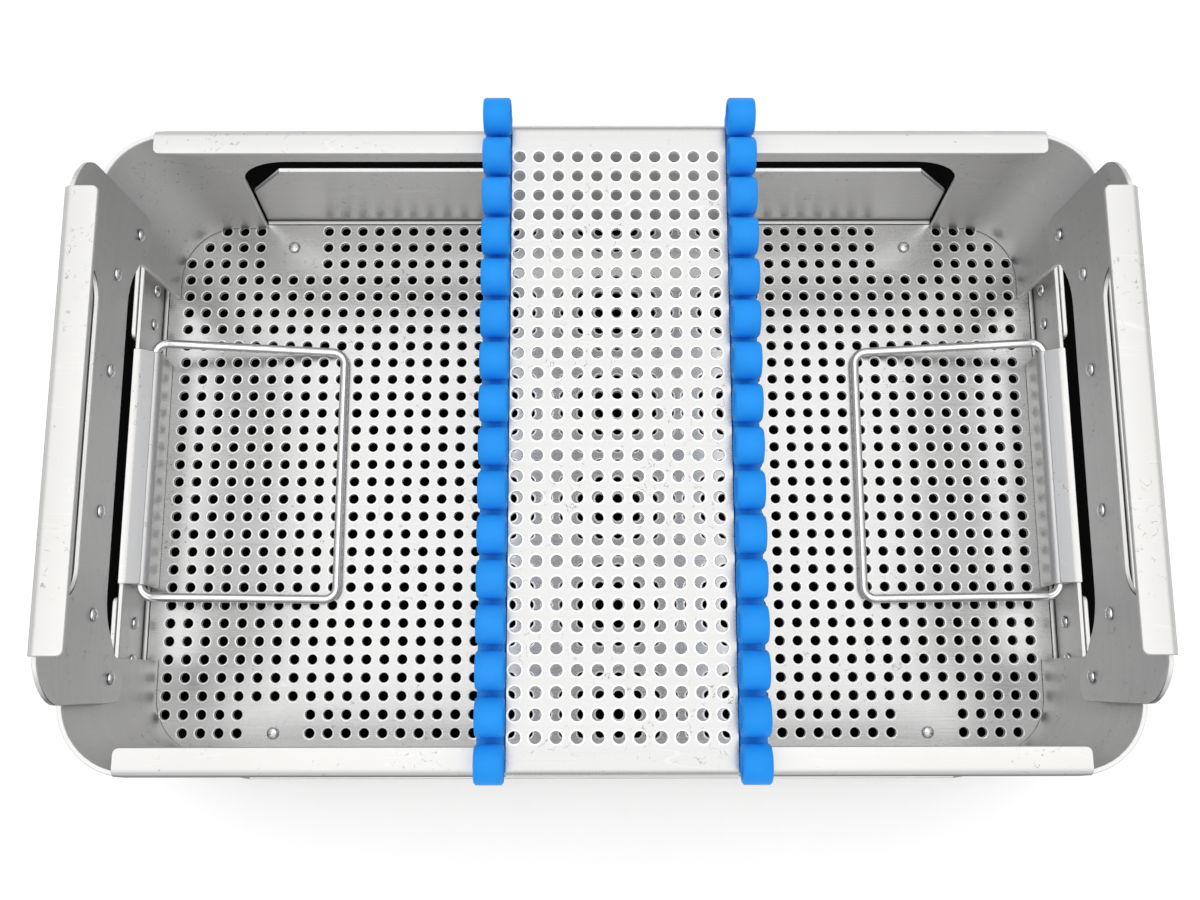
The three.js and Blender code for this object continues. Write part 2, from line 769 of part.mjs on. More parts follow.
const plateHalfX = bridgeHalf - seam;
const bridgeSolid = toSolid(prismX(bridgeProfile(), bridgeX - plateHalfX, bridgeX + plateHalfX));
addPiece('bridge_plate', toGeometry(cutAll(bridgeSolid, bridgeHoles())), perforatedSteel);

// Silicone strips: a base bar with a row of hollow rolls, and a tongue under the plate
function stripOutline() {
  const low = rimTopZ + seam;
  const top = low + stripBaseHeight;
  const middle = top + loopLift;
  const dip = THREE.MathUtils.radToDeg(Math.asin(loopLift / loopRadius));
  const foot = Math.sqrt(loopRadius ** 2 - loopLift ** 2);
  const end = (loopCount - 1) * half * loopPitch;
  const points = [[-end - foot, low], [end + foot, low]];
  const shape = [];
  for (let i = 0; i < loopCount; i += 1) {
    const y = end - i * loopPitch;
    points.push(...arc(y, middle, loopRadius, -dip, halfTurn + dip, loopSteps));
    shape.push(new THREE.Path().absarc(y, middle, loopBore, 0, Math.PI * 2));
  }
  const whole = outline(points);
  whole.holes.push(...shape);
  return whole;
}

function strip(side) {
  const inner = bridgeX + side * bridgeHalf;
  const outer = inner + side * stripWidth;
  const rolls = prismX(stripOutline(), Math.min(inner, outer), Math.max(inner, outer), boreSteps);
  const low = rimTopZ + seam;
  const high = bridgeTopZ - bridgeSheet - seam;
  const reach = wallOuterY - tongueSetback;
  const tip = inner - side * tongueDepth;
  const root = inner + side * tongueDepth;
  const tongue = prismZ(rectangle(Math.min(tip, root), Math.max(tip, root), -reach, reach), low, high);
  return toSolid(rolls.translate(0, stripShift, 0)).add(toSolid(tongue));
}

for (const [name, side] of ends) {
  addPiece(`${name}_silicone_strip`, toGeometry(strip(side)), silicone);
}

export default basket;
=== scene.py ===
import math

import bmesh
import bpy
from bpy.props import FloatProperty, FloatVectorProperty, IntProperty, PointerProperty
from mathutils import Matrix, Vector
from mathutils.geometry import delaunay_2d_cdt


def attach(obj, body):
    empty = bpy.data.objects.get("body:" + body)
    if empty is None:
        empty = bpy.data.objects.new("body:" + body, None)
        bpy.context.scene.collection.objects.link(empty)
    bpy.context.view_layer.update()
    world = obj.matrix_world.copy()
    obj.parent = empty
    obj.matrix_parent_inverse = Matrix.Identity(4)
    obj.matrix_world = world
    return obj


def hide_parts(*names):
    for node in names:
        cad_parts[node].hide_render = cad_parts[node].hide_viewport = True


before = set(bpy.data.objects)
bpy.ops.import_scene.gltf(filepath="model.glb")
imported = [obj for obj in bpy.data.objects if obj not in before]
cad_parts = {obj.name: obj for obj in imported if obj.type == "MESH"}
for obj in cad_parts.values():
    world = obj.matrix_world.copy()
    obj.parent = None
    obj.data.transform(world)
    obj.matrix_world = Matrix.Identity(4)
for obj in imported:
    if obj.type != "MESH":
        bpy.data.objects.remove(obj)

bl_info = {
    "name": "Sterilization Container",
    "version": (1, 0, 0),
    "blender": (4, 5, 0),
    "location": "View3D > Sidebar > Container",
    "description": "Builds a perforated instrument basket with a bridge and silicone strips",
    "category": "Add Mesh",
}

MM = 0.001
QUARTER = math.radians(90)
HOLE_SIDES = 14
BORE_SIDES = 12
RIVET_SIDES = 20
RIVET_RINGS = 5
WIRE_SIDES = 24
FOOT_SIDES = 40
BEND_STEPS = 5
CORNER_STEPS = 12
OPENING_STEPS = 10
CLASP_STEPS = 16
ROLL_STEPS = 22
ROLL_BORE_SIDES = 24
ROUND_SHARP = 50  # degrees from which an edge of a rounded piece shades sharp
ROLL_TURN = 250  # degrees that a clasp is rolled, beside its tilt
MERGE = 2e-6  # metres
BUMP_DEPTH = 4e-5  # metres
CAMERA_LENS = 37.2
CAMERA_SHIFT = 0.0054
CAMERA_PLACE = (-0.0045, -0.0922, 0.5809)
CAMERA_DEGREES = (10.59, -0.139, -0.087)
SKY_HEIGHTS = (0.4, 0.85)
FLOOR_REACH = 6.0
# The painted shadow on the stage floor, a near-black zone under and beside the basket, in metres: a
# core, and how far past it the painted shadow fades.
PAINTED_SHADOW_HALF_X = 0.163
PAINTED_SHADOW_HALF_Y = 0.073
PAINTED_SHADOW_MIDDLE_Y = 0.02
PAINTED_SHADOW_FADE = (0.071, 0.080)
PAINTED_SHADOW_TONE = (0.003, 0.003, 0.003)
ENDS = (("left", -1), ("right", 1))
WAYS = (("front", -1), ("back", 1))


# ---------------------------------------------------------------- sizes and looks


def length(name, description, value):
    """A length in metres, given in millimetres."""
    return FloatProperty(
        name=name, description=description, default=value * MM, min=0.0, unit="LENGTH", precision=5
    )


def angle(name, description, value):
    """An angle given in degrees."""
    return FloatProperty(
        name=name, description=description, default=math.radians(value), min=0.0, subtype="ANGLE"
    )


def count(name, description, value):
    return IntProperty(name=name, description=description, default=value, min=1)


def ratio(name, description, value, top=1.0):
    return FloatProperty(
        name=name, description=description, default=value, min=0.0, max=top, subtype="FACTOR"
    )


def colour(name, description, value):
    return FloatVectorProperty(
        name=name, description=description, default=value, size=3, min=0.0, max=1.0, subtype="COLOR"
    )


class ContainerBasketSizes(bpy.types.PropertyGroup):
    """Sizes of the wall ring, the floor tray and the end fittings."""

    length: length("Length", "Wall ring from end to end", 406.0)
    width: length("Width", "Wall ring from front to back", 253.0)
    sheet: length("Sheet", "Thickness of walls, floor, flanges and end plates", 2.0)
    corner: length("Corner radius", "Outer radius of the wall ring's corners", 28.0)
    deck: length("Floor height", "Floor's top face above the feet", 8.0)
    wall: length("Wall height", "Floor's top face to the ring's upper edge", 102.5)
    rim: length("Rim height", "Floor's top face to the top of the rims", 107.0)
    rim_depth: length("Rim depth", "Outer wall face to a rim's inner edge", 11.0)
    rim_half: length("Rim half length", "Middle of a rim to its end", 179.5)
    rim_bend: length("Rim bend", "Radius of the folds at mid sheet", 2.5)
    rim_corner: length("Rim corner", "Radius of the rims' free corners", 2.5)
    side_half: length("Side opening", "Half width of the front and back openings", 160.9)
    side_lean: length("Side opening lean", "How far its sides lean in", 4.4)
    side_shoulder: length("Side shoulder", "Height where the round corner starts", 54.5)
    side_height: length("Side opening height", "Height of the front and back openings", 78.5)
    side_radius: length("Side opening radius", "Width of its round corners", 23.4)
    arch_half: length("Arch half width", "Half width of the end openings", 85.5)
    arch_height: length("Arch height", "Height of the end openings", 71.5)
    arch_radius: length("Arch radius", "Radius of their corners", 25.5)
    shift: length("End shift", "How far the end fittings sit behind the middle", 3.2)
    edge: length("Edge break", "Broken edge along every sheet", 0.3)
    gap: length("Seam", "Gap between pieces that touch", 0.3)


class ContainerPlateSizes(bpy.types.PropertyGroup):
    """Sizes of the riveted end plates and the rivets."""

    half: length("Half width", "Middle of an end plate to its side", 103.6)
    top: length("Top", "Floor to the top of the round corners", 131.5)
    rim_top: length("Rim top", "Floor to the top of the folded rim", 137.5)
    rim_half: length("Rim half length", "Middle of the rim to its end", 86.5)
    rim_depth: length("Rim depth", "Plate's outer face to the rim's edge", 13.5)
    corner: length("Corner radius", "Radius of the upper corners", 16.0)
    crease: length("Crease", "Middle of the plate to the wings' crease", 89.0)
    wing: length("Wing set", "How far a wing is bent in", 2.0)
    tab_drop: length("Tab drop", "Arch's crown down to the tabs' lower edge", 20.0)
    tab_inner: length("Tab inner edge", "Middle of the plate to a tab", 88.0)
    tab_radius: length("Tab radius", "Radius of the tabs' outer corners", 10.0)
    shoulder: length("Shoulder", "Where the lower edge leaves the arch", 79.0)
    slot_half: length("Slot half width", "Half width of the hand slot", 64.5)
    slot_low: length("Slot bottom", "Floor to the slot's lower edge", 101.5)
    slot_high: length("Slot top", "Floor to the slot's upper edge", 127.0)
    slot_radius: length("Slot radius", "Radius of the slot's corners", 12.0)
    head: length("Rivet head radius", "Radius of the domed heads", 2.75)
    head_height: length("Rivet head height", "Height of the domed heads", 1.5)
    shank: length("Rivet shank radius", "Radius of the rivets' shanks", 1.6)
    tail: length("Rivet tail radius", "Radius of the flattened tails", 2.4)
    tail_height: length("Rivet tail height", "Height of the flattened tails", 1.0)
    upper_rise: length("Upper rivets", "Arch's crown to the upper rivets", 13.5)
    upper_far: length("Upper rivets, outer", "Middle of the plate to the outer two", 69.4)
    upper_near: length("Upper rivets, inner", "Middle of the plate to the inner two", 28.7)
    lower_drop: length("Lower rivets", "Arch's crown down to the lowest rivets", 6.3)
    lower_far: length("Lower rivets, place", "Middle of the plate to the lowest rivets", 93.7)


class ContainerTraySizes(bpy.types.PropertyGroup):
    """Sizes of the floor, its perforation, its flanges and its feet."""

    pitch: length("Hole pitch", "Distance between holes", 8.2)
    hole: length("Hole diameter", "Diameter of the holes", 4.4)
    lip: length("Lip", "Width of the rounded lip around a hole", 0.25)
    # The ring's brightness is a painted highlight: the material paints it white and less metallic.
    halo: length("Halo", "Width of the bright ring around a hole", 1.0)
    columns: count("Columns", "Columns of holes", 49)
    rows: count("Rows", "Rows of holes", 30)
    blank_inner: count("Patch start", "First column of the plain patches, from the middle", 17)
    blank_outer: count("Patch end", "Last column of the plain patches", 19)
    foot_column: count("Foot column", "Column in which the feet stand", 18)
    bend: length("Flange bend", "Radius of the flanges' bends at mid sheet", 3.0)
    end_gap: length("End flange gap", "Wall's outer face to the end flange", 5.6)
    side_gap: length("Side flange gap", "Wall's outer face to the side flange", 2.0)
    end_height: length("End flange height", "Floor to the end flanges' top", 28.5)
    end_half: length("End flange half length", "Middle of an end flange to its end", 98.0)
    side_height: length("Side flange height", "Floor to the side flanges' top", 58.4)
    side_shoulder: length("Side flange shoulder", "Height where the slant starts", 36.2)
    side_lean: length("Side flange lean", "How far the ends lean in", 2.9)
    side_chamfer: length("Side flange slant", "Width of the slanted corners", 16.5)
    doubler_inner: length("Doubler", "Middle of the end to a doubler", 58.5)
    doubler_lift: length("Doubler lift", "Lowest edge above the floor", 2.0)
    flange_rivet: length("Flange rivets", "Their height above the floor", 12.5)
    flange_near: length("Flange rivets, inner", "Middle of the end to the inner two", 69.3)
    flange_far: length("Flange rivets, outer", "Middle of the end to the outer two", 85.7)
    foot: length("Foot radius", "Radius of a foot", 8.0)
    foot_low: length("Foot lower radius", "Radius where a foot stands", 6.5)
    foot_height: length("Foot height", "Height of a foot", 6.0)
    pocket: length("Foot pocket radius", "Radius of the rivet's pocket", 4.2)
    pocket_depth: length("Foot pocket depth", "Depth of the rivet's pocket", 2.6)


class ContainerHandleSizes(bpy.types.PropertyGroup):
    """Sizes of the brackets, the clasps and the wire handles."""

    sheet: length("Sheet", "Thickness of brackets and clasps", 1.5)
    half: length("Half length", "Middle of a bracket to its end", 53.0)
    bracket_bend: length("Bracket bend", "Radius of a bracket's bend at mid sheet", 1.25)
    slope: angle("Bracket slope", "Slope of a bracket's leaf", 38.0)
    tip: length("Leaf reach", "Flange's inner face to the leaf's tip", 5.7)
    lean: length("Clasp lean", "How far the clasp leans in", 2.6)
    wire: length("Wire radius", "Radius of the handle's wire", 2.0)
    clearance: length("Wire clearance", "Play of the wire in its clasp", 0.5)
    pivot: length("Pivot height", "Floor to the pivot's axis", 20.1)
    arm: length("Arm length", "Pivot to the grip", 85.4)
    grip_half: length("Grip half length", "Middle of the handle to its side", 58.2)
    bend: length("Wire bend", "Radius of the wire's corners", 5.5)


class ContainerBridgeSizes(bpy.types.PropertyGroup):
    """Sizes of the bridge plate and the silicone strips."""

    x: length("Place", "Middle of the bridge along the basket", 7.0)
    half: length("Half width", "Middle of the bridge to the strips", 42.5)
    sheet: length("Sheet", "Thickness of the bridge plate", 1.5)
    rise: length("Rise", "Rims' top to the plate's top face", 5.0)
    bend: length("Bend", "Radius of its bends at mid sheet", 3.25)
    hole_x: length("Hole field", "Middle of its holes along the basket", 5.9)
    pitch_x: length("Pitch along", "Distance between columns", 7.63)
    pitch_y: length("Pitch across", "Distance between rows", 8.0)
    hole: length("Hole diameter", "Diameter of the holes", 4.4)
    lip: length("Lip", "Width of the rounded lip around a hole", 0.25)
    # The ring's brightness is a painted highlight: the material paints it white and less metallic.
    halo: length("Halo", "Width of the bright ring around a hole", 0.9)
    columns: count("Columns", "Columns of holes", 11)
    rows: count("Rows", "Rows of holes", 29)
    strip: length("Strip width", "Width of a silicone strip", 10.5)
    base: length("Strip base", "Height of a strip's base bar", 4.0)
    strip_shift: length("Strip shift", "How far the strips sit behind the middle", 2.6)
    loops: count("Rolls", "Rolls on each strip", 16)
    loop_pitch: length("Roll pitch", "Distance between rolls", 16.5)
    loop_radius: length("Roll radius", "Outer radius of a roll", 7.25)
    loop_bore: length("Roll bore", "Radius of a roll's bore", 4.7)
    loop_lift: length("Roll lift", "Base's top to a roll's middle", 6.0)
    loop_edge: length("Roll edge", "Broken edge of the rolls", 0.7)
    tongue: length("Tongue", "How far a strip reaches under the plate", 1.0)
    setback: length("Tongue setback", "Wall's outer face to the tongue's end", 14.0)


class ContainerLook(bpy.types.PropertyGroup):
    """Colours and finishes."""

    steel: colour("Steel", "Brushed steel of walls, plates and flanges", (0.69, 0.685, 0.672))
    sheet: colour("Perforated steel", "Finely brushed floor and bridge", (0.58, 0.578, 0.572))
    wire: colour("Wire", "Polished wire and rivets", (0.80, 0.80, 0.80))
    silicone: colour("Silicone", "Silicone of the strips", (0.014, 0.28, 0.83))
    grain: ratio("Grain", "Strength of the brushed grain", 0.35)
    wear: ratio("Scratches", "Strength of scratches and specks", 0.6)
    dust: ratio("Dust", "Strength of the fine dust", 0.25)
    floor: colour("Backdrop", "Pale floor around the object", (0.985, 0.985, 0.985))
    zenith: FloatProperty(name="Zenith", description="Sky overhead", default=1.58, min=0.0)
    horizon: FloatProperty(name="Horizon", description="Sky at the horizon", default=0.56, min=0.0)


GROUPS = {
    "container_basket": ContainerBasketSizes,
    "container_plate": ContainerPlateSizes,
    "container_tray": ContainerTraySizes,
    "container_handle": ContainerHandleSizes,
    "container_bridge": ContainerBridgeSizes,
    "container_look": ContainerLook,
}


# ---------------------------------------------------------------- node trees


class Tree:
    """A node tree being written, with short calls for its nodes and links."""

    def __init__(self, tree):
        self.tree = tree

    def fill(self, node, values):
        """Sets a node's inputs to values, or links them to sockets."""
        for key, value in values.items():
            if isinstance(value, bpy.types.NodeSocket):
                self.tree.links.new(value, node.inputs[key])
            else:
                node.inputs[key].default_value = value
        return node

    def node(self, kind, values=None, **settings):
        node = self.tree.nodes.new(kind)
        for key, value in settings.items():
            setattr(node, key, value)
        return self.fill(node, values or {})

    def shader(self, kind, values=None, out=0, **settings):
        return self.node(f"ShaderNode{kind}", values, **settings).outputs[out]

    def geometry(self, kind, values=None, out=0, **settings):
        return self.node(f"GeometryNode{kind}", values, **settings).outputs[out]

    def math(self, operation, *values):
        return self.shader("Math", dict(enumerate(values)), operation=operation)

    def axes(self, vector):
        return self.node("ShaderNodeSeparateXYZ", {0: vector}).outputs

    def vector(self, **parts):
        return self.shader("CombineXYZ", parts)

    def noise(self, vector, scale, detail):
        return self.shader("TexNoise", {"Vector": vector, "Scale": scale, "Detail": detail})

    def band(self, value, low, high, start=0.0, end=1.0):
        """The value carried from one range to another, and held at its ends."""
        ranges = {"From Min": low, "From Max": high, "To Min": start, "To Max": end}
        return self.shader("MapRange", {"Value": value, **ranges})

    def mixed(self, factor, a, b):
        """A colour mixed from two colours or sockets."""
        a, b = (c if isinstance(c, bpy.types.NodeSocket) else (*c, 1.0) for c in (a, b))
        return self.shader("Mix", {0: factor, 6: a, 7: b}, 2, data_type="RGBA")

    def moved(self, mesh, drop):
        return self.geometry("Transform", {"Geometry": mesh, "Translation": self.vector(Z=drop)})

    def joined(self, *parts):
        join = self.node("GeometryNodeJoinGeometry")
        for part in parts:
            self.tree.links.new(part, join.inputs[0])
        return join.outputs[0]


class Group(Tree):
    """A node group with named inputs and outputs."""

    def __init__(self, name, kind="ShaderNodeTree"):
        super().__init__(bpy.data.node_groups.new(name, kind))
        self.start = self.tree.nodes.new("NodeGroupInput")
        self.end = self.tree.nodes.new("NodeGroupOutput")

    def sockets(self, kind, *names, way="INPUT", default=None):
        for name in names:
            item = self.tree.interface.new_socket(
                name=name, in_out=way, socket_type=f"NodeSocket{kind}"
            )
            if default is not None:
                item.default_value = default

    def given(self, name):
        return self.start.outputs[name]

    def out(self, name, socket):
        self.tree.links.new(socket, self.end.inputs[name])

    def finished(self, name, geometry):
        """Puts out the geometry, realized, merged and with its material."""
        real = self.geometry("RealizeInstances", {"Geometry": geometry})
        merged = self.geometry("MergeByDistance", {"Geometry": real, "Distance": MERGE})
        material = self.given("Material")
        self.out(name, self.geometry("SetMaterial", {"Geometry": merged, "Material": material}))
        return self.tree


def set_inputs(modifier, values):
    """Sets a Geometry Nodes modifier's inputs by their names."""
    for item in modifier.node_group.interface.items_tree:
        if item.item_type == "SOCKET" and item.in_out == "INPUT" and item.name in values:
            modifier[item.identifier] = values[item.name]


# ---------------------------------------------------------------- shapes


def arc(cu, cv, radius, start, end, steps):
    """Points of an arc, first and last included, angles in degrees."""
    points = []
    for i in range(steps + 1):
        angle = math.radians(start + (end - start) * i / steps)
        points.append((cu + radius * math.cos(angle), cv + radius * math.sin(angle)))
    return points


def round_box(u0, u1, v0, v1, radii, steps=6):
    """A rounded rectangle run anticlockwise; radii from the lower left corner on."""
    a, b, c, d = radii if isinstance(radii, tuple) else (radii,) * 4
    return (
        arc(u0 + a, v0 + a, a, 180, 270, steps)
        + arc(u1 - b, v0 + b, b, 270, 360, steps)
        + arc(u1 - c, v1 - c, c, 0, 90, steps)
        + arc(u0 + d, v1 - d, d, 90, 180, steps)
    )


def circle(u, v, radius, sides=16):
    """A circle run clockwise, as a hole is."""
    return arc(u, v, radius, 360, 360 / sides, sides - 1)


def mirrored(points):
    """The points with their mirror images across u = 0, in running order."""
    return points + [(-u, v) for u, v in reversed(points)]


class Path:
    """A line of straight runs and bends in a plane, measured along its length."""

    def __init__(self, point, heading, parts):
        self.parts = []
        place = Vector(point)
        turn = math.radians(heading)
        reach = 0.0
        for part in parts:
            radius, angle = (None, 0.0) if len(part) == 1 else (part[0], math.radians(part[1]))
            steps = 1 if len(part) == 1 else part[2]
            span = part[0] if len(part) == 1 else abs(radius * angle)
            self.parts.append((reach, span, place.copy(), turn, radius, angle, steps))
            place = Vector(self.at(reach + span, 0.0))
            turn += angle
            reach += span
        self.length = reach

    def at(self, s, w):
        """The point at length s, w to the left of the line."""
        held = self.parts[0]
        for part in self.parts:
            if s >= part[0] - 1e-9:
                held = part
        start, _, place, turn, radius, angle, _ = held
        along = Vector((math.cos(turn), math.sin(turn)))
        left = Vector((-along.y, along.x))
        if radius is None:
            return tuple(place + along * (s - start) + left * w)
        side = 1.0 if angle > 0 else -1.0
        centre = place + left * radius * side
        swept = turn + side * (s - start) / radius - QUARTER * side
        reach = radius - w * side
        return tuple(centre + Vector((math.cos(swept), math.sin(swept))) * reach)

    def starts(self):
        return [part[0] for part in self.parts]

    def cuts(self):
        places = []
        for start, span, _, _, radius, _, steps in self.parts:
            if radius is not None:
                places += [start + span * i / steps for i in range(steps + 1)]
        return places


def inset(points, distances):
    """A loop moved to its left by one distance per edge, with mitred corners."""
    moved = []
    total = len(points)
    for i, point in enumerate(points):
        p = Vector(point)
        d1 = (p - Vector(points[i - 1])).normalized()
        d2 = (Vector(points[(i + 1) % total]) - p).normalized()
        n1 = Vector((-d1.y, d1.x))
        n2 = Vector((-d2.y, d2.x))
        a, b = distances[i - 1], distances[i]
        det = n1.x * n2.y - n1.y * n2.x
        if abs(det) < 1e-3:
            moved.append(p + n2 * (a + b) / 2)
        else:
            moved.append(p + Vector(((a * n2.y - b * n1.y) / det, (b * n1.x - a * n2.x) / det)))
    return moved


def within(point, loops):
    """Whether a point lies inside an odd number of loops."""
    inside = False
    for loop in loops:
        for (ax, ay), (bx, by) in zip(loop, loop[1:] + loop[:1]):
            if (ay > point.y) != (by > point.y):
                inside ^= point.x < ax + (bx - ax) * (point.y - ay) / (by - ay)
    return inside


def flat_solid(outline, holes, sheet, edge, open_edges=()):
    """A flat sheet in (u, v) with broken edges, w from minus to plus half its thickness."""
    bm = bmesh.new()
    loops = [outline] + holes
    distances = [[edge] * len(loop) for loop in loops]
    for i in open_edges:
        distances[0][i] = 0.0
    inner = [inset(loop, d) for loop, d in zip(loops, distances)]
    flat = [p for loop in inner for p in loop]
    edges = []
    first = 0
    for loop in loops:
        edges += [(first + i, first + (i + 1) % len(loop)) for i in range(len(loop))]
        first += len(loop)
    found, _, faces, origins, _, _ = delaunay_2d_cdt(flat, edges, [], 0, 1e-9)
    bounds = [[tuple(p) for p in loop] for loop in inner]

    def middle(face):
        return sum((found[i] for i in face), Vector((0, 0))) / len(face)

    faces = [face for face in faces if within(middle(face), bounds)]
    half = sheet / 2
    for w, flip in ((half, False), (-half, True)):
        made = [bm.verts.new((p.x, p.y, w)) for p in found]
        for face in faces:
            corners = [made[i] for i in face]
            bm.faces.new(corners[::-1] if flip else corners)
        ids = {}
        for k, source in enumerate(origins):
            for s in source:
                ids[s] = made[k]
        if flip:
            lower = ids
        else:
            upper = ids
    first = 0
    for n, loop in enumerate(loops):
        size = len(loop)
        rings = [[upper[first + i] for i in range(size)]]
        rings.append([bm.verts.new((u, v, half - edge)) for u, v in loop])
        rings.append([bm.verts.new((u, v, edge - half)) for u, v in loop])
        rings.append([lower[first + i] for i in range(size)])
        for a, b in zip(rings, rings[1:]):
            for i in range(size):
                j = (i + 1) % size
                if n == 0 and i in open_edges:
                    continue
                bm.faces.new((a[i], b[i], b[j], a[j]))
        first += size
    return bm


def fold(bm, place, cuts_u=(), cuts_v=()):
    """Cuts the flat sheet along its bends and carries it to its folded place."""
    for axis, cuts in ((0, cuts_u), (1, cuts_v)):
        normal = Vector((1, 0, 0)) if axis == 0 else Vector((0, 1, 0))
        for cut in cuts:
            geometry = bm.verts[:] + bm.edges[:] + bm.faces[:]
            plane = {"plane_co": normal * cut, "plane_no": normal}
            bmesh.ops.bisect_plane(bm, geom=geometry, dist=1e-7, **plane)
    for vert in bm.verts:
        vert.co = place(*vert.co)
    return bm


def lathe(profile, sides, axis_place):
    """A closed turned body from (radius, height) points, carried by a matrix."""
    bm = bmesh.new()
    rings = []
    for radius, height in profile:
        if radius < 1e-9:
            rings.append([bm.verts.new(axis_place @ Vector((0, 0, height)))])
            continue
        ring = []
        for k in range(sides):
            angle = 2 * math.pi * k / sides
            point = Vector((radius * math.cos(angle), radius * math.sin(angle), height))
            ring.append(bm.verts.new(axis_place @ point))
        rings.append(ring)
    closed = len(rings[0]) > 1
    pairs = list(zip(rings, rings[1:])) + ([(rings[-1], rings[0])] if closed else [])
    for a, b in pairs:
        for k in range(sides):
            n = (k + 1) % sides
            corners = [a[k % len(a)], a[n % len(a)], b[n % len(b)], b[k % len(b)]]
            bm.faces.new(list(dict.fromkeys(corners)))
    return bm


def at_end(point, side, shift):
    """A point drawn for the right-hand end, turned about for the left one and set back."""
    x, y, z = point
    return Vector((side * x, side * y + shift, z))


def as_mesh(name, bodies):
    """One mesh from closed bmesh bodies, faces outward."""
    mesh = bpy.data.meshes.new(name)
    whole = bmesh.new()
    for bm in bodies:
        part = bpy.data.meshes.new("part")
        bmesh.ops.remove_doubles(bm, verts=bm.verts[:], dist=2e-7)
        bm.to_mesh(part)
        bm.free()
        whole.from_mesh(part)
        bpy.data.meshes.remove(part)
    bmesh.ops.recalc_face_normals(whole, faces=whole.faces[:])
    whole.to_mesh(mesh)
    whole.free()
    return mesh


def add_piece(name, mesh, material, body, nodes, sharp=35):
    """Puts a finished mesh in the scene as a piece that stands for the given nodes."""
    mesh.name = name
    for polygon in mesh.polygons:
        polygon.use_smooth = True
    mesh.set_sharp_from_angle(angle=math.radians(sharp))
    mesh.materials.clear()
    mesh.materials.append(material)
    piece = bpy.data.objects.new(name, mesh)
    bpy.context.scene.collection.objects.link(piece)
    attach(piece, body)
    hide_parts(*nodes)
    return piece


def add_sheet(name, mesh, *nodes, finish="brushed_steel"):
    """A piece of plain sheet that belongs to the basket."""
    return add_piece(name, mesh, steel(finish), "basket", nodes)


def add_perforated(name, mesh, body, node):
    return add_piece(name, mesh, steel("perforated_steel"), body, [node])


def evaluated(name, mesh, group, values):
    """The mesh that a Geometry Nodes group makes of another mesh."""
    source = bpy.data.objects.new(name, mesh)
    bpy.context.scene.collection.objects.link(source)
    modifier = source.modifiers.new("nodes", "NODES")
    modifier.node_group = group
    set_inputs(modifier, values)
    graph = bpy.context.evaluated_depsgraph_get()
    made = bpy.data.meshes.new_from_object(source.evaluated_get(graph))
    source.modifiers.remove(modifier)
    bpy.data.objects.remove(source)
    return made


# ---------------------------------------------------------------- repeated shapes


def cones(t, levels, sides):
    """An open turned shell through (radius, height) levels, from the top down."""
    shells = []
    for (upper, top), (lower, low) in zip(levels, levels[1:]):
        radii = {"Radius Top": upper, "Radius Bottom": lower}
        values = {"Vertices": sides, **radii, "Depth": t.math("SUBTRACT", top, low)}
        shells.append(t.moved(t.geometry("MeshCone", values, "Mesh", fill_type="NONE"), low))
    return t.joined(*shells)


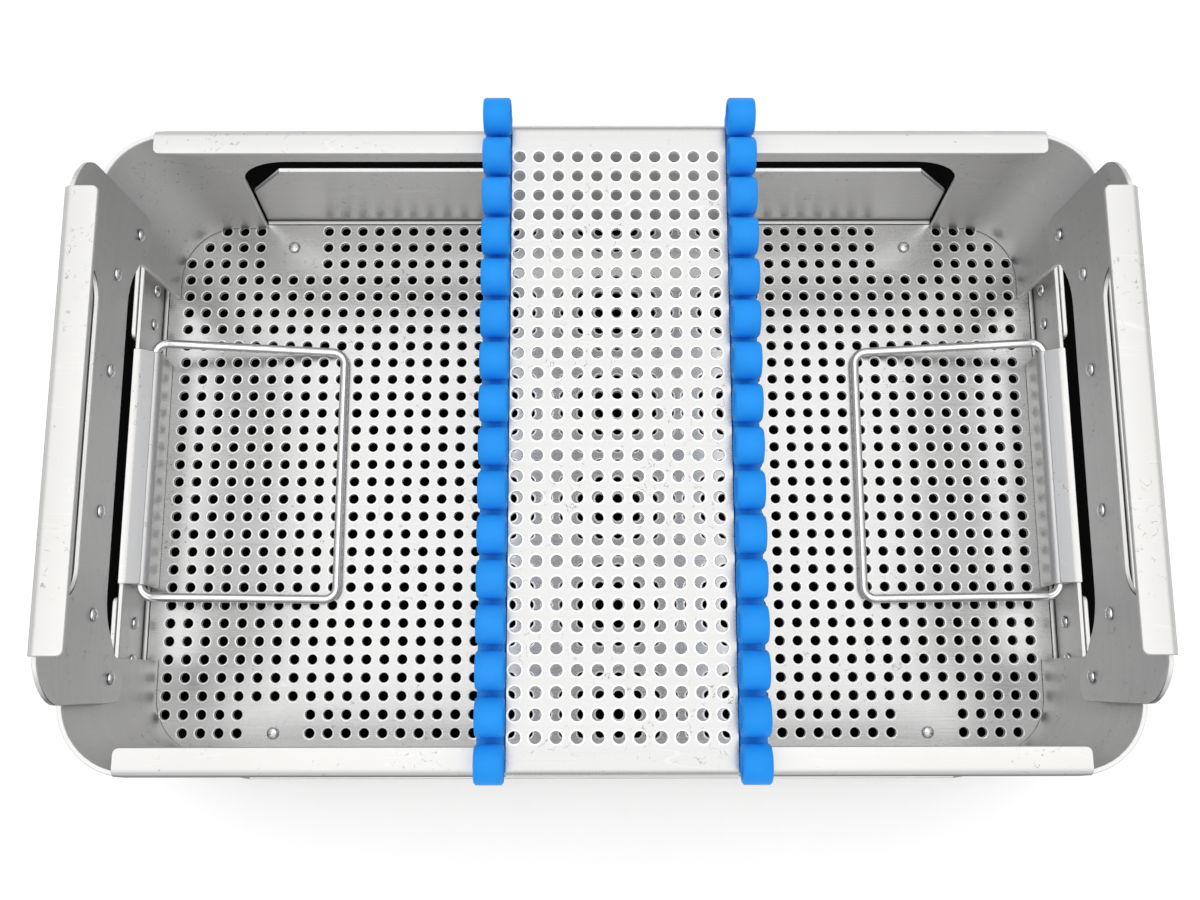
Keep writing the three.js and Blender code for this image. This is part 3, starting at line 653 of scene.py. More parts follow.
def perforation_group():
    """Fills a flat outline and punches a grid of holes with rounded lips through it."""
    t = Group("perforation", "GeometryNodeTree")
    t.sockets("Geometry", "Outline")
    t.sockets("Int", "Columns", "Rows", "Blank Inner", "Blank Outer", "Blank Rows", default=0)
    t.sockets("Int", "Back Corner", "Front Corner", default=0)
    t.sockets("Float", "Pitch X", "Pitch Y", "Centre X", "Centre Y", default=0.0)
    t.sockets("Float", "Hole Radius", "Lip", "Halo", "Sheet", default=0.0)
    t.sockets("Material", "Material")
    t.sockets("Geometry", "Sheet", way="OUTPUT")
    g = t.given
    last_column = t.math("SUBTRACT", g("Columns"), 1.0)
    last_row = t.math("SUBTRACT", g("Rows"), 1.0)
    counts = {"Vertices X": g("Columns"), "Vertices Y": g("Rows")}
    size_x = t.math("MULTIPLY", last_column, g("Pitch X"))
    size_y = t.math("MULTIPLY", last_row, g("Pitch Y"))
    grid = t.geometry("MeshGrid", {"Size X": size_x, "Size Y": size_y, **counts}, "Mesh")
    place = t.geometry("InputPosition")
    axes = t.axes(place)
    column = t.math("DIVIDE", t.math("ABSOLUTE", axes["X"]), g("Pitch X"))
    from_side = t.math("SUBTRACT", t.math("MULTIPLY", last_column, 0.5), column)
    middle_row = t.math("MULTIPLY", last_row, 0.5)
    row = t.math("ADD", t.math("DIVIDE", axes["Y"], g("Pitch Y")), middle_row)
    from_back = t.math("SUBTRACT", last_row, row)

    def below(value, name, margin):
        return t.math("LESS_THAN", value, t.math("SUBTRACT", g(name), margin))

    inside = t.math("GREATER_THAN", column, t.math("SUBTRACT", g("Blank Inner"), 0.5))
    short = t.math("LESS_THAN", column, t.math("ADD", g("Blank Outer"), 0.5))
    in_patch = t.math("MULTIPLY", inside, short)
    near_edge = t.math(
        "MAXIMUM", below(row, "Blank Rows", 1.5), below(from_back, "Blank Rows", 0.5)
    )
    cornered = t.math(
        "MAXIMUM",
        below(t.math("ADD", from_back, from_side), "Back Corner", 0.5),
        below(t.math("ADD", row, from_side), "Front Corner", 0.5),
    )
    gone = t.math("MAXIMUM", t.math("MULTIPLY", in_patch, near_edge), cornered)
    kept = t.geometry("DeleteGeometry", {"Geometry": grid, "Selection": gone}, domain="POINT")
    centre = t.vector(X=g("Centre X"), Y=g("Centre Y"))
    points = t.geometry("SetPosition", {"Geometry": kept, "Offset": centre})
    outline = t.geometry("MeshToCurve", {"Mesh": g("Outline")})

    def field(radius, depth, flip):
        circle_values = {"Resolution": HOLE_SIDES, "Radius": radius}
        ring = t.geometry("CurvePrimitiveCircle", circle_values, "Curve")
        rings = t.geometry("InstanceOnPoints", {"Points": points, "Instance": ring})
        both = t.joined(outline, t.geometry("RealizeInstances", {"Geometry": rings}))
        mesh = t.geometry("FillCurve", {"Curve": both}, mode="TRIANGLES")
        if flip:
            mesh = t.geometry("FlipFaces", {"Mesh": mesh})
        return t.moved(mesh, depth)

    hole, lip = g("Hole Radius"), g("Lip")
    wide = t.math("ADD", hole, g("Halo"))
    under = t.math("MULTIPLY", g("Sheet"), -1.0)
    middle = t.math("ADD", hole, t.math("MULTIPLY", lip, 0.4))
    levels = (
        (wide, 0.0),
        (t.math("ADD", hole, lip), 0.0),
        (middle, t.math("MULTIPLY", lip, -0.25)),
        (hole, t.math("MULTIPLY", lip, -0.9)),
        (hole, under),
    )
    collar = cones(t, levels, HOLE_SIDES)
    # Marks each collar's distance in from its outer edge, where the material paints the highlight
    # ring.
    inward = t.shader("VectorMath", {0: place}, "Value", operation="LENGTH")
    depth_in = t.math("DIVIDE", t.math("SUBTRACT", wide, inward), g("Halo"))
    marked = t.geometry(
        "StoreNamedAttribute",
        {"Geometry": collar, "Name": "UVMap", "Value": t.vector(X=depth_in, Y=0.5)},
        data_type="FLOAT2",
        domain="CORNER",
    )
    collars = t.geometry("InstanceOnPoints", {"Points": points, "Instance": marked})
    drop = {"Mesh": g("Outline"), "Offset": t.vector(Z=under)}
    side = t.geometry("ExtrudeMesh", drop, "Mesh", mode="EDGES")
    whole = t.joined(field(wide, 0.0, False), field(hole, under, True), collars, side)
    return t.finished("Sheet", whole)


def rivet_group():
    """Sets a domed rivet with a flattened tail on every vertex, turned about where x < 0."""
    t = Group("rivets", "GeometryNodeTree")
    t.sockets("Geometry", "Places")
    t.sockets("Float", "Head Radius", "Head Height", "Shank Radius", "Grip", default=0.0)
    t.sockets("Float", "Tail Radius", "Tail Height", "Tilt", default=0.0)
    t.sockets("Material", "Material")
    t.sockets("Geometry", "Rivets", way="OUTPUT")
    g = t.given
    levels = []
    for i in range(RIVET_RINGS + 1):
        angle = QUARTER * i / RIVET_RINGS
        radius = t.math("MULTIPLY", g("Head Radius"), math.sin(angle))
        levels.append((radius, t.math("MULTIPLY", g("Head Height"), math.cos(angle))))
    low = t.math("MULTIPLY", g("Grip"), -1.0)
    tail = t.math("SUBTRACT", low, g("Tail Height"))
    bulge = t.math("SUBTRACT", low, t.math("MULTIPLY", g("Tail Height"), 0.6))
    small = t.math("MULTIPLY", g("Tail Radius"), 0.75)
    levels += [(g("Shank Radius"), 0.0), (g("Shank Radius"), low), (g("Tail Radius"), low)]
    levels += [(g("Tail Radius"), bulge), (small, tail), (0.0, tail)]
    stack = cones(t, levels, RIVET_SIDES)
    x = t.axes(t.geometry("InputPosition"))["X"]
    about = t.math("MULTIPLY", t.math("LESS_THAN", x, 0.0), math.pi)
    turn = t.node("FunctionNodeEulerToRotation", {0: t.vector(Y=g("Tilt"), Z=about)}).outputs[0]
    values = {"Points": g("Places"), "Instance": stack, "Rotation": turn}
    return t.finished("Rivets", t.geometry("InstanceOnPoints", values))


# ---------------------------------------------------------------- surfaces


def grain_group():
    """Brushed grain: a shade from 0 to 1 and a height, stretched by the given scale."""
    t = Group("brushed_grain")
    t.sockets("Vector", "Vector")
    t.sockets("Vector", "Scale", default=(10.0, 10.0, 1200.0))
    t.sockets("Float", "Shade", "Height", way="OUTPUT")
    place = t.shader("Mapping", {"Vector": t.given("Vector"), "Scale": t.given("Scale")})
    fine = t.noise(place, 1.0, 3.0)
    broad = t.noise(place, 0.17, 2.0)
    t.out("Shade", t.math("MULTIPLY", t.math("ADD", fine, broad), 0.5))
    t.out("Height", fine)
    return t.tree


def marks_group():
    """Fine scratches, short broken hairlines and specks as masks from 0 to 1."""
    t = Group("scratches_and_specks")
    t.sockets("Vector", "Vector")
    t.sockets("Float", "Density", default=1.0)
    t.sockets("Float", "Scratches", "Hairlines", "Specks", way="OUTPUT")
    where = t.given("Vector")

    def contour(value, width):
        return t.band(t.math("ABSOLUTE", t.math("SUBTRACT", value, 0.5)), 0.0, width, 1.0, 0.0)

    def put_out(name, mask, gate):
        t.out(name, t.math("MULTIPLY", t.math("MULTIPLY", mask, gate), t.given("Density")))

    lines = 0.0
    for turn, scale in ((0.5, 9.0), (-0.9, 13.0), (1.3, 7.0)):
        rotation = (turn, turn * 0.7, turn)
        values = {"Rotation": rotation, "Scale": (scale, scale * 9, scale * 2)}
        place = t.shader("Mapping", {"Vector": where, **values})
        lines = t.math("MAXIMUM", lines, contour(t.noise(place, 1.0, 1.0), 0.006))
    put_out("Scratches", lines, t.band(t.noise(where, 60.0, 2.0), 0.5, 0.62))
    fine_gate = t.band(t.noise(where, 330.0, 1.0), 0.52, 0.6)
    broad_gate = t.band(t.noise(where, 45.0, 2.0), 0.5, 0.58)
    curls = contour(t.noise(where, 170.0, 3.0), 0.014)
    put_out("Hairlines", curls, t.math("MULTIPLY", fine_gate, broad_gate))
    values = {"Vector": where, "Scale": 260.0, "Randomness": 1.0}
    dots = t.node("ShaderNodeTexVoronoi", values).outputs
    chance = t.shader("SeparateColor", {0: dots["Color"]})
    near = t.band(dots["Distance"], 0.05, 0.14, 1.0, 0.0)
    put_out("Specks", near, t.math("GREATER_THAN", chance, 0.9))
    return t.tree


def wear_and_bend_shade_group():
    """Bright worn edges, and a painted shade: a dark line on sloped faces along bends and broken
    edges, set by which way the surface faces; both as masks.
    """
    t = Group("edge_wear")
    t.sockets("Vector", "Vector")
    t.sockets("Float", "Mask", "Bend", way="OUTPUT")
    raised = t.band(t.shader("NewGeometry", out="Pointiness"), 0.52, 0.6)
    t.out("Mask", t.math("MULTIPLY", raised, t.noise(t.given("Vector"), 180.0, 2.0)))
    # Painted shade along bends, read from the object-space normal rather than from any lamp.
    facing = t.axes(t.shader("TexCoord", out="Normal"))["Z"]
    t.out("Bend", t.math("MULTIPLY", t.band(facing, 0.06, 0.16), t.band(facing, 0.78, 0.5)))
    return t.tree


def dust_group():
    """A fine uneven film as a mask from 0 to 1."""
    t = Group("dust_film")
    t.sockets("Vector", "Vector")
    t.sockets("Float", "Mask", way="OUTPUT")
    where = t.given("Vector")
    patch = t.band(t.noise(where, 14.0, 3.0), 0.4, 0.75)
    t.out("Mask", t.math("MULTIPLY", patch, t.noise(where, 900.0, 1.0)))
    return t.tree


GROUP_MAKERS = {
    "perforation": perforation_group,
    "rivets": rivet_group,
    "brushed_grain": grain_group,
    "scratches_and_specks": marks_group,
    "edge_wear": wear_and_bend_shade_group,
    "dust_film": dust_group,
}


def shared(name):
    """A shared node group, made the first time it is asked for."""
    return bpy.data.node_groups.get(name) or GROUP_MAKERS[name]()


class Surface(Tree):
    """A material's tree, with shared effects and inputs of its shader."""

    def effect(self, name, values):
        return self.node("ShaderNodeGroup", values, node_tree=shared(name)).outputs

    def set(self, values):
        self.fill(self.tree.nodes["Principled BSDF"], values)

    def bump(self, height, strength):
        values = {"Height": height, "Strength": strength, "Distance": BUMP_DEPTH}
        return self.shader("Bump", values)


def new_material(name):
    """A material and its tree, or no tree if it was made before. The frame holds other names."""
    material = bpy.data.materials.get(name)
    if material:
        return material, None
    material = bpy.data.materials.new(name)
    material.use_nodes = True
    return material, Surface(material.node_tree)


def tinted(tone, factor):
    return tuple(min(c * factor, 1.0) for c in tone)


def metal(name, tone, rough, scale, grain, marks=1.0, bend=1.0, lips=False):
    """Steel with brushed grain, fine scratches and specks, worn edges, a thin film, and painted
    shade along bends; perforated steel also has a painted highlight ring around each hole.
    """
    material, t = new_material(name)
    if t is None:
        return material
    look = bpy.context.scene.container_look
    tone = tuple(getattr(look, tone))
    coordinates = t.node("ShaderNodeTexCoord").outputs
    where = coordinates["Object"]
    lines = t.effect("brushed_grain", {"Vector": where, "Scale": scale})
    flaws = t.effect("scratches_and_specks", {"Vector": where, "Density": look.wear * marks})
    edges = t.effect("edge_wear", {"Vector": where})
    film = t.effect("dust_film", {"Vector": where})
    spread = t.band(lines["Shade"], 0.3, 0.7)
    base = t.mixed(spread, tinted(tone, 1 - grain), tinted(tone, 1 + grain * 0.5))
    shades = (
        (flaws["Specks"], 0.45),
        (flaws["Scratches"], 1.12),
        (flaws["Hairlines"], 0.12),
        (edges["Mask"], 1.15),
        # The Bend mask paints shade: sloped faces along bends and broken edges are darkened to this
        # share of the tone.
        (edges["Bend"], bend),
    )
    for mask, shade in shades:
        base = t.mixed(mask, base, tinted(tone, shade))
    metallic = 1.0
    # Painted highlight: the flat ring around each hole is painted white and less metallic, so it
    # reads as a lit lip.
    if lips:
        ring = t.axes(coordinates["UV"])["X"]
        halo = t.math("MULTIPLY", t.band(ring, 0.05, 0.35), t.band(ring, 0.8, 0.7))
        base = t.mixed(halo, base, (1.0, 1.0, 1.0))
        metallic = t.math("MULTIPLY_ADD", halo, -0.75, 1.0)
    uneven = t.band(lines["Shade"], 0.2, 0.8, rough - 0.06, rough + 0.06)
    t.set(
        {
            "Metallic": metallic,
            "Base Color": base,
            "Roughness": t.math("MULTIPLY_ADD", film["Mask"], look.dust * 0.3, uneven),
            "Normal": t.bump(lines["Height"], look.grain),
        }
    )
    return material


ALONG = (14.0, 14.0, 1500.0)
ACROSS = (14.0, 1500.0, 14.0)
EVEN = (300.0, 300.0, 300.0)
FINISHES = {
    # bend: how dark the painted shade along bends is, as a share of the tone; 1.0 keeps it at the
    # plain tone.
    "brushed_steel": dict(tone="steel", rough=0.45, scale=ALONG, grain=0.06, bend=0.22),
    "plain_steel": dict(tone="steel", rough=0.4, scale=ALONG, grain=0.06),
    # lips: paints the highlight ring around the holes.
    "perforated_steel": dict(tone="sheet", rough=0.26, scale=ACROSS, grain=0.04, lips=True),
    "bright_wire": dict(tone="wire", rough=0.16, scale=EVEN, grain=0.03, marks=0.6),
}


def steel(name):
    return metal(name, **FINISHES[name])


def silicone():
    """Satin silicone, faintly mottled, with fine dust."""
    material, t = new_material("satin_silicone")
    if t is None:
        return material
    look = bpy.context.scene.container_look
    where = t.shader("TexCoord", out="Object")
    film = t.effect("dust_film", {"Vector": where})
    cloud = t.noise(where, 70.0, 2.0)
    tone = tuple(look.silicone)
    dust = t.math("MULTIPLY", film["Mask"], look.dust * 0.1)
    base = t.mixed(cloud, tinted(tone, 0.9), tinted(tone, 1.1))
    t.set(
        {
            "Metallic": 0.0,
            "IOR": 1.35,
            "Specular IOR Level": 0.25,
            "Base Color": t.mixed(dust, base, (0.6, 0.7, 0.8)),
            "Roughness": t.band(cloud, 0.0, 1.0, 0.42, 0.56),
            "Normal": t.bump(t.noise(where, 2500.0, 1.0), 0.15),
        }
    )
    return material


# ---------------------------------------------------------------- the basket's sheet


def bores(b, places, sides=BORE_SIDES):
    """Round bores for rivets at the given places."""
    return [circle(u, v, bore_radius(b), sides) for u, v in places]


def bore_radius(b):
    return bpy.context.scene.container_plate.shank + b.gap


def folded(name, outline, holes, sheet, edge, line, place):
    """A sheet folded along a line in a plane, which place sets into the basket."""
    bm = flat_solid(outline, holes, sheet, edge)
    fold(bm, lambda u, v, w: place(u, *line.at(v, w)), (), line.cuts())
    return as_mesh(name, [bm])


def rim_line(b, rise, lip):
    """The line of a wall that is folded over into a rim."""
    return Path((0, 0), 90, [(rise,), (b.rim_bend, -90, BEND_STEPS), (lip,)])


def rim_corners(b, line, middle, half):
    """The two rounded free corners of a rim."""
    reach = half - b.rim_corner
    flap = line.length - b.rim_corner
    right = arc(middle + reach, flap, b.rim_corner, 0, 90, BEND_STEPS)
    return right, arc(middle - reach, flap, b.rim_corner, 90, 180, BEND_STEPS)


def ring_mesh(b):
    """The wall ring with both rims, one folded strip that closes on itself."""
    half_sheet = b.sheet / 2
    radius = b.corner - half_sheet
    run_x = b.length - 2 * b.corner
    run_y = b.width - 2 * b.corner
    bend = (radius, 90, CORNER_STEPS)
    half_bend = (radius, 45, CORNER_STEPS // 2)
    diagonal = radius * math.sqrt(0.5)
    start = (-run_x / 2 - diagonal, -run_y / 2 - diagonal)
    runs = [(run_x,), bend, (run_y,), bend, (run_x,), bend, (run_y,)]
    plan = Path(start, -45, [half_bend, *runs, half_bend])
    begin = plan.starts()
    sides = ((1, run_x), (3, run_y), (5, run_x), (7, run_y))
    front, right, back, left = (begin[i] + run / 2 for i, run in sides)
    low = b.deck + b.gap
    top = b.deck + b.wall
    rise = b.deck + b.rim - half_sheet - b.rim_bend
    fold_line = rim_line(b, rise, b.rim_depth - half_sheet - b.rim_bend)
    corner = b.side_half - b.side_lean - b.side_radius
    rise_v = b.side_height - b.side_shoulder
    right_side = [(b.side_half, low), (b.side_half, b.deck + 2 * b.gap)]
    for c, s in arc(0, 0, 1, 0, 90, OPENING_STEPS):
        point = (corner + b.side_radius * c, b.deck + b.side_shoulder + rise_v * s)
        right_side.append(point)
    opening = mirrored(right_side)[::-1]
    u, v = b.arch_half - b.arch_radius, b.deck + b.arch_height - b.arch_radius
    arch_right = [(b.arch_half, low)] + arc(u, v, b.arch_radius, 0, 90, OPENING_STEPS)
    arch = mirrored(arch_right)[::-1]
    outline = [(0.0, low)]
    shapes = ((front, opening), (right + b.shift, arch), (back, opening), (left - b.shift, arch))
    for middle, shape in shapes:
        outline += [(middle + u, v) for u, v in shape]
    outline.append((plan.length, low))
    outline.append((plan.length, top))
    for middle in (back, front):
        right_corner, left_corner = rim_corners(b, fold_line, middle, b.rim_half)
        outline.append((middle + b.rim_half, top))
        outline += right_corner + left_corner
        outline.append((middle - b.rim_half, top))
    outline.append((0.0, top))
    places = []
    for middle, way in ((right, 1), (left, -1)):
        for y, z in rivet_places(bpy.context.scene.container_plate, b):
            places.append((middle + way * (y + b.shift), z))
    seam = (outline.index((plan.length, low)), len(outline) - 1)
    bm = flat_solid(outline, bores(b, places), b.sheet, b.edge, seam)
    limit = plan.length

    def place(s, v, w):
        depth, z = fold_line.at(v, -w)
        x, y = plan.at(min(max(s, 0.0), limit), depth)
        if v > rise:
            share = min((v - rise) / (b.rim_bend * QUARTER), 1.0)
            side = 1 if abs(s - front) < abs(s - back) else -1
            straight_x = side * (s - (front if side > 0 else back))
            straight_y = -side * (b.width / 2 - half_sheet - depth)
            x += (straight_x - x) * share
            y += (straight_y - y) * share
        return Vector((x, y, z))

    return as_mesh("wall_ring", [fold(bm, place, plan.cuts(), fold_line.cuts())])


def rivet_places(p, b):
    crown = b.deck + b.arch_height
    upper = crown + p.upper_rise
    lower = crown - p.lower_drop
    row = [(y, upper) for y in (-p.upper_far, -p.upper_near, p.upper_near, p.upper_far)]
    return row + [(-p.lower_far, lower), (p.lower_far, lower)]


def flange_rivet_places(t, b):
    z = b.deck + t.flange_rivet
    return [(y, z) for y in (-t.flange_far, -t.flange_near, t.flange_near, t.flange_far)]


def wing_set(p, y):
    """How far a wing of the end plate stands in at y."""
    return max(abs(y) - p.crease, 0.0) * p.wing / (p.half - p.crease)


def plate_x(b):
    """The outer face of an end plate."""
    return b.length / 2 - b.sheet - b.gap


def end_plate_mesh(b, p, side):
    """One end plate: tabs beside the arch, wings bent in, hand slot and folded rim."""
    half_sheet = b.sheet / 2
    crown = b.deck + b.arch_height
    bottom = crown - p.tab_drop
    top_corner = b.deck + p.top - p.corner
    rise = b.deck + p.rim_top - half_sheet - b.rim_bend
    fold_line = rim_line(b, rise, p.rim_depth - half_sheet - b.rim_bend)
    inner = b.arch_half - b.arch_radius
    meet = math.degrees(math.acos((p.shoulder - inner) / b.arch_radius))
    points = arc(inner, crown - b.arch_radius, b.arch_radius, 90, meet, 5)
    tab_corner = p.tab_radius / 2
    points += arc(p.tab_inner + tab_corner, bottom + tab_corner, tab_corner, 180, 270, 4)
    points += arc(p.half - p.tab_radius, bottom + p.tab_radius, p.tab_radius, -90, 0, 6)
    leave = math.degrees(math.acos((p.rim_half - p.half + p.corner) / p.corner))
    points += arc(p.half - p.corner, top_corner, p.corner, 0, leave, 8)
    points += rim_corners(b, fold_line, 0.0, p.rim_half)[0]
    slot_low, slot_high = b.deck + p.slot_low, b.deck + p.slot_high
    slot = round_box(-p.slot_half, p.slot_half, slot_low, slot_high, p.slot_radius, 8)
    holes = [slot[::-1]] + bores(b, rivet_places(p, b))
    bm = flat_solid(mirrored(points), holes, b.sheet, b.edge)
    middle = plate_x(b) - half_sheet

    def place(u, v, w):
        depth, z = fold_line.at(v, -w)
        return at_end((middle - depth - wing_set(p, u), u, z), side, b.shift)

    return as_mesh("end_plate", [fold(bm, place, (-p.crease, p.crease), fold_line.cuts())])


def flange_line(b, t, inner, height):
    """A flange's line from the start of its bend, and what to add to a height to lie on it."""
    start = (inner + b.sheet / 2 - t.bend, b.deck - b.sheet / 2)
    line = Path(start, 0, [(t.bend, 90, 6), (b.deck + height - start[1] - t.bend,)])
    return line, line.starts()[1] - start[1] - t.bend


def end_flange_mesh(b, t, side):
    """A turned-up end flange from the start of its bend."""
    line, rise = flange_line(b, t, b.length / 2 + t.end_gap, t.end_height)
    small, large = b.edge * 2, 2 * MM
    radii = (small, small, large, large)
    shape = round_box(-t.end_half, t.end_half, 0.0, line.length, radii, 4)
    holes = bores(b, [(y, z + rise) for y, z in flange_rivet_places(t, b)])

    def place(u, x, z):
        return at_end((x, u, z), side, b.shift)

    return folded("end_flange", shape, holes, b.sheet, b.edge, line, place)


def side_flange_mesh(b, t, way):
    """A turned-up side flange with slanted upper corners."""
    line, rise = flange_line(b, t, b.width / 2 + t.side_gap, t.side_height)
    shoulder = b.side_half - t.side_lean
    right = [
        (b.side_half, 0.0),
        (b.side_half, line.starts()[1]),
        (shoulder, b.deck + t.side_shoulder + rise),
        (shoulder - t.side_chamfer, line.length),
    ]

    def place(u, y, z):
        return Vector((-way * u, way * y, z))

    return folded("side_flange", mirrored(right), [], b.sheet, b.edge, line, place)


def doubler_mesh(b, t, side, way):
    """A flat doubler outside an end flange."""
    low = b.deck + t.doubler_lift
    top = b.deck + t.end_height
    middle = b.length / 2 + t.end_gap + b.sheet + b.gap + b.sheet / 2
    near, far = sorted((way * side * t.doubler_inner, way * side * t.end_half))
    shape = round_box(near, far, low, top, b.sheet * 1.5, 5)
    holes = bores(b, [(y, z) for y, z in flange_rivet_places(t, b) if near < y < far])
    bm = flat_solid(shape, holes, b.sheet, b.edge)
    return as_mesh("doubler", [fold(bm, lambda u, v, w: at_end((middle + w, u, v), side, b.shift))])


def leaf_mesh(name, b, h, line, side):
    """A bracket or a clasp: a narrow sheet folded along its line."""
    small = b.edge * 2
    shape = round_box(-h.half, h.half, 0.0, line.length, (small, small, h.sheet, h.sheet), 4)

    def place(u, x, z):
        return at_end((x, -u, z), side, b.shift)

    return folded(name, shape, [], h.sheet, b.edge, line, place)


def bracket_mesh(b, t, h, side):
    """A flat on the end flange's upper edge whose leaf slopes in above the pivot."""
    outer = b.length / 2 + t.end_gap + b.sheet
    crown = b.deck + t.end_height + b.gap + h.sheet / 2
    run = h.tip - h.bracket_bend * math.sin(h.slope)
    bend = (h.bracket_bend, math.degrees(h.slope), 5)
    line = Path((outer, crown), 180, [(b.sheet,), bend, (run / math.cos(h.slope),)])
    return leaf_mesh("bracket", b, h, line, side)


def pivot_x(b, t, h):
    return b.length / 2 + t.end_gap - b.gap - h.sheet - h.clearance - h.wire


def clasp_mesh(b, t, h, side):
    """A leaf standing on the floor, rolled over the handle's pivot bar."""
    roll = h.wire + h.clearance + h.sheet / 2
    foot = (pivot_x(b, t, h) - roll + h.lean, b.deck + b.gap)
    tilt = math.degrees(math.atan2(h.lean, h.pivot))
    run = math.hypot(h.lean, h.pivot - b.gap)
    line = Path(foot, 90 + tilt, [(run,), (roll, -(ROLL_TURN + tilt), CLASP_STEPS)])
    return leaf_mesh("clasp", b, h, line, side)


def handle_mesh(b, t, h, side):
    """A closed ring of round wire resting on the floor."""
    rest = math.asin((h.pivot - h.wire - b.gap) / h.arm)
    far = h.arm - h.bend
    corners = ((h.bend, 1, 180, 90), (far, 1, 90, 0), (far, -1, 0, -90), (h.bend, -1, -90, -180))
    route = []
    for u, way, start, end in corners:
        route += arc(u, way * (h.grip_half - h.bend), h.bend, start, end, 10)
    centre = Vector((side * pivot_x(b, t, h), b.shift, b.deck + h.pivot))
    bm = bmesh.new()
    rings = []
    total = len(route)
    for i, (u, v) in enumerate(route):
        before = Vector(route[i - 1])
        after = Vector(route[(i + 1) % total])
        along = (after - before).normalized()
        ring = []
        for k in range(WIRE_SIDES):
            angle = 2 * math.pi * k / WIRE_SIDES
            out = h.wire * math.cos(angle)
            local = Vector((u + along.y * out, v - along.x * out, h.wire * math.sin(angle)))
            x = local.x * math.cos(rest) + local.z * math.sin(rest)
            z = -local.x * math.sin(rest) + local.z * math.cos(rest)
            ring.append(bm.verts.new(centre + Vector((-side * x, -side * local.y, z))))
        rings.append(ring)
    for a, ring in enumerate(rings):
        other = rings[(a + 1) % total]
        for k in range(WIRE_SIDES):
            n = (k + 1) % WIRE_SIDES
            bm.faces.new((ring[k], ring[n], other[n], other[k]))
    return as_mesh("handle", [bm])


def foot_mesh(b, t, side, way):
    """A turned foot with a pocket for the rivet's tail."""
    high = t.foot_height - b.gap
    bore = bore_radius(b)
    break_at = 0.5 * MM
    profile = [
        (bore, high),
        (bore, t.pocket_depth),
        (t.pocket, t.pocket_depth),
        (t.pocket, 0.0),
        (t.foot_low - break_at, 0.0),
        (t.foot_low, break_at * 0.4),
        (t.foot, t.foot_low * 0.3),
        (t.foot, high - break_at),
        (t.foot - break_at, high),
    ]
    place = Matrix.Translation(foot_place(t, side, way))
    return as_mesh("foot", [lathe(profile, FOOT_SIDES, place)])


def foot_place(t, side, way):
    return Vector((side * t.foot_column * t.pitch, way * (t.rows - 2) / 2 * t.pitch, 0.0))


def foot_places(t):
    return [foot_place(t, side, way) for _, side in ENDS for _, way in WAYS]


def perforated(name, loops, sizes, values):
    """A flat outline filled and perforated by the shared group."""
    holes = {"Columns": sizes.columns, "Rows": sizes.rows, "Hole Radius": sizes.hole / 2}
    values = {**holes, "Lip": sizes.lip, "Halo": sizes.halo, **values}
    values["Material"] = steel("perforated_steel")
    return evaluated(name, loop_mesh(loops), shared("perforation"), values)


def floor_mesh(b, t):
    """The perforated floor with plain patches where the feet stand."""
    half_x = b.length / 2 + t.end_gap + b.sheet / 2 - t.bend - b.gap
    half_y = b.width / 2 + t.side_gap + b.sheet / 2 - t.bend - b.gap
    loops = [round_box(-half_x, half_x, -half_y, half_y, b.corner, CORNER_STEPS)]
    loops += bores(b, [(place.x, place.y) for place in foot_places(t)], HOLE_SIDES)
    values = {
        "Blank Inner": t.blank_inner,
        "Blank Outer": t.blank_outer,
        "Blank Rows": 3,
        "Back Corner": 2,
        "Front Corner": 1,
        "Pitch X": t.pitch,
        "Pitch Y": t.pitch,
        "Centre Y": t.pitch / 2,
        "Sheet": b.sheet,
    }
    made = perforated("floor_outline", loops, t, values)
    made.transform(Matrix.Translation((0, 0, b.deck)))
    return closed(made)


def loop_mesh(loops):
    """A mesh of edges only, one ring for each loop."""
    mesh = bpy.data.meshes.new("outline")
    points = []
    edges = []
    for loop in loops:
        first = len(points)
        points += [(u, v, 0.0) for u, v in loop]
        edges += [(first + i, first + (i + 1) % len(loop)) for i in range(len(loop))]
    mesh.from_pydata(points, edges, [])
    return mesh


def closed(mesh, place=None, cuts=()):
    """The mesh with normals outward, folded by place if that is given."""
    bm = bmesh.new()
    bm.from_mesh(mesh)
    if place:
        fold(bm, place, (), cuts)
    bmesh.ops.recalc_face_normals(bm, faces=bm.faces[:])
    bm.to_mesh(mesh)
    bm.free()
    return mesh


def bridge_mesh(b, g):
    """The perforated bridge plate, its ends turned down onto the rims."""
    half_sheet = g.sheet / 2
    rim_top = b.deck + b.rim
    leg = rim_top + g.rise - half_sheet - g.bend - rim_top - b.gap
    end = b.width / 2 - half_sheet
    bend = (g.bend, -90, 6)
    runs = [(leg,), bend, (2 * (end - g.bend),), bend, (leg,)]
    line = Path((-end, rim_top + b.gap), 90, runs)
    half_x = g.half - b.gap
    half_y = line.length / 2
    outline = round_box(g.x - half_x, g.x + half_x, -half_y, half_y, 0.6 * MM, 3)
    values = {
        "Pitch X": g.pitch_x,
        "Pitch Y": g.pitch_y,
        "Centre X": g.hole_x,
        "Sheet": g.sheet,
    }
    made = perforated("bridge_outline", [outline], g, values)
    made.transform(Matrix.Translation((0, half_y, half_sheet)))
    return closed(made, lambda u, v, w: Vector((u, *line.at(v, w))), line.cuts())


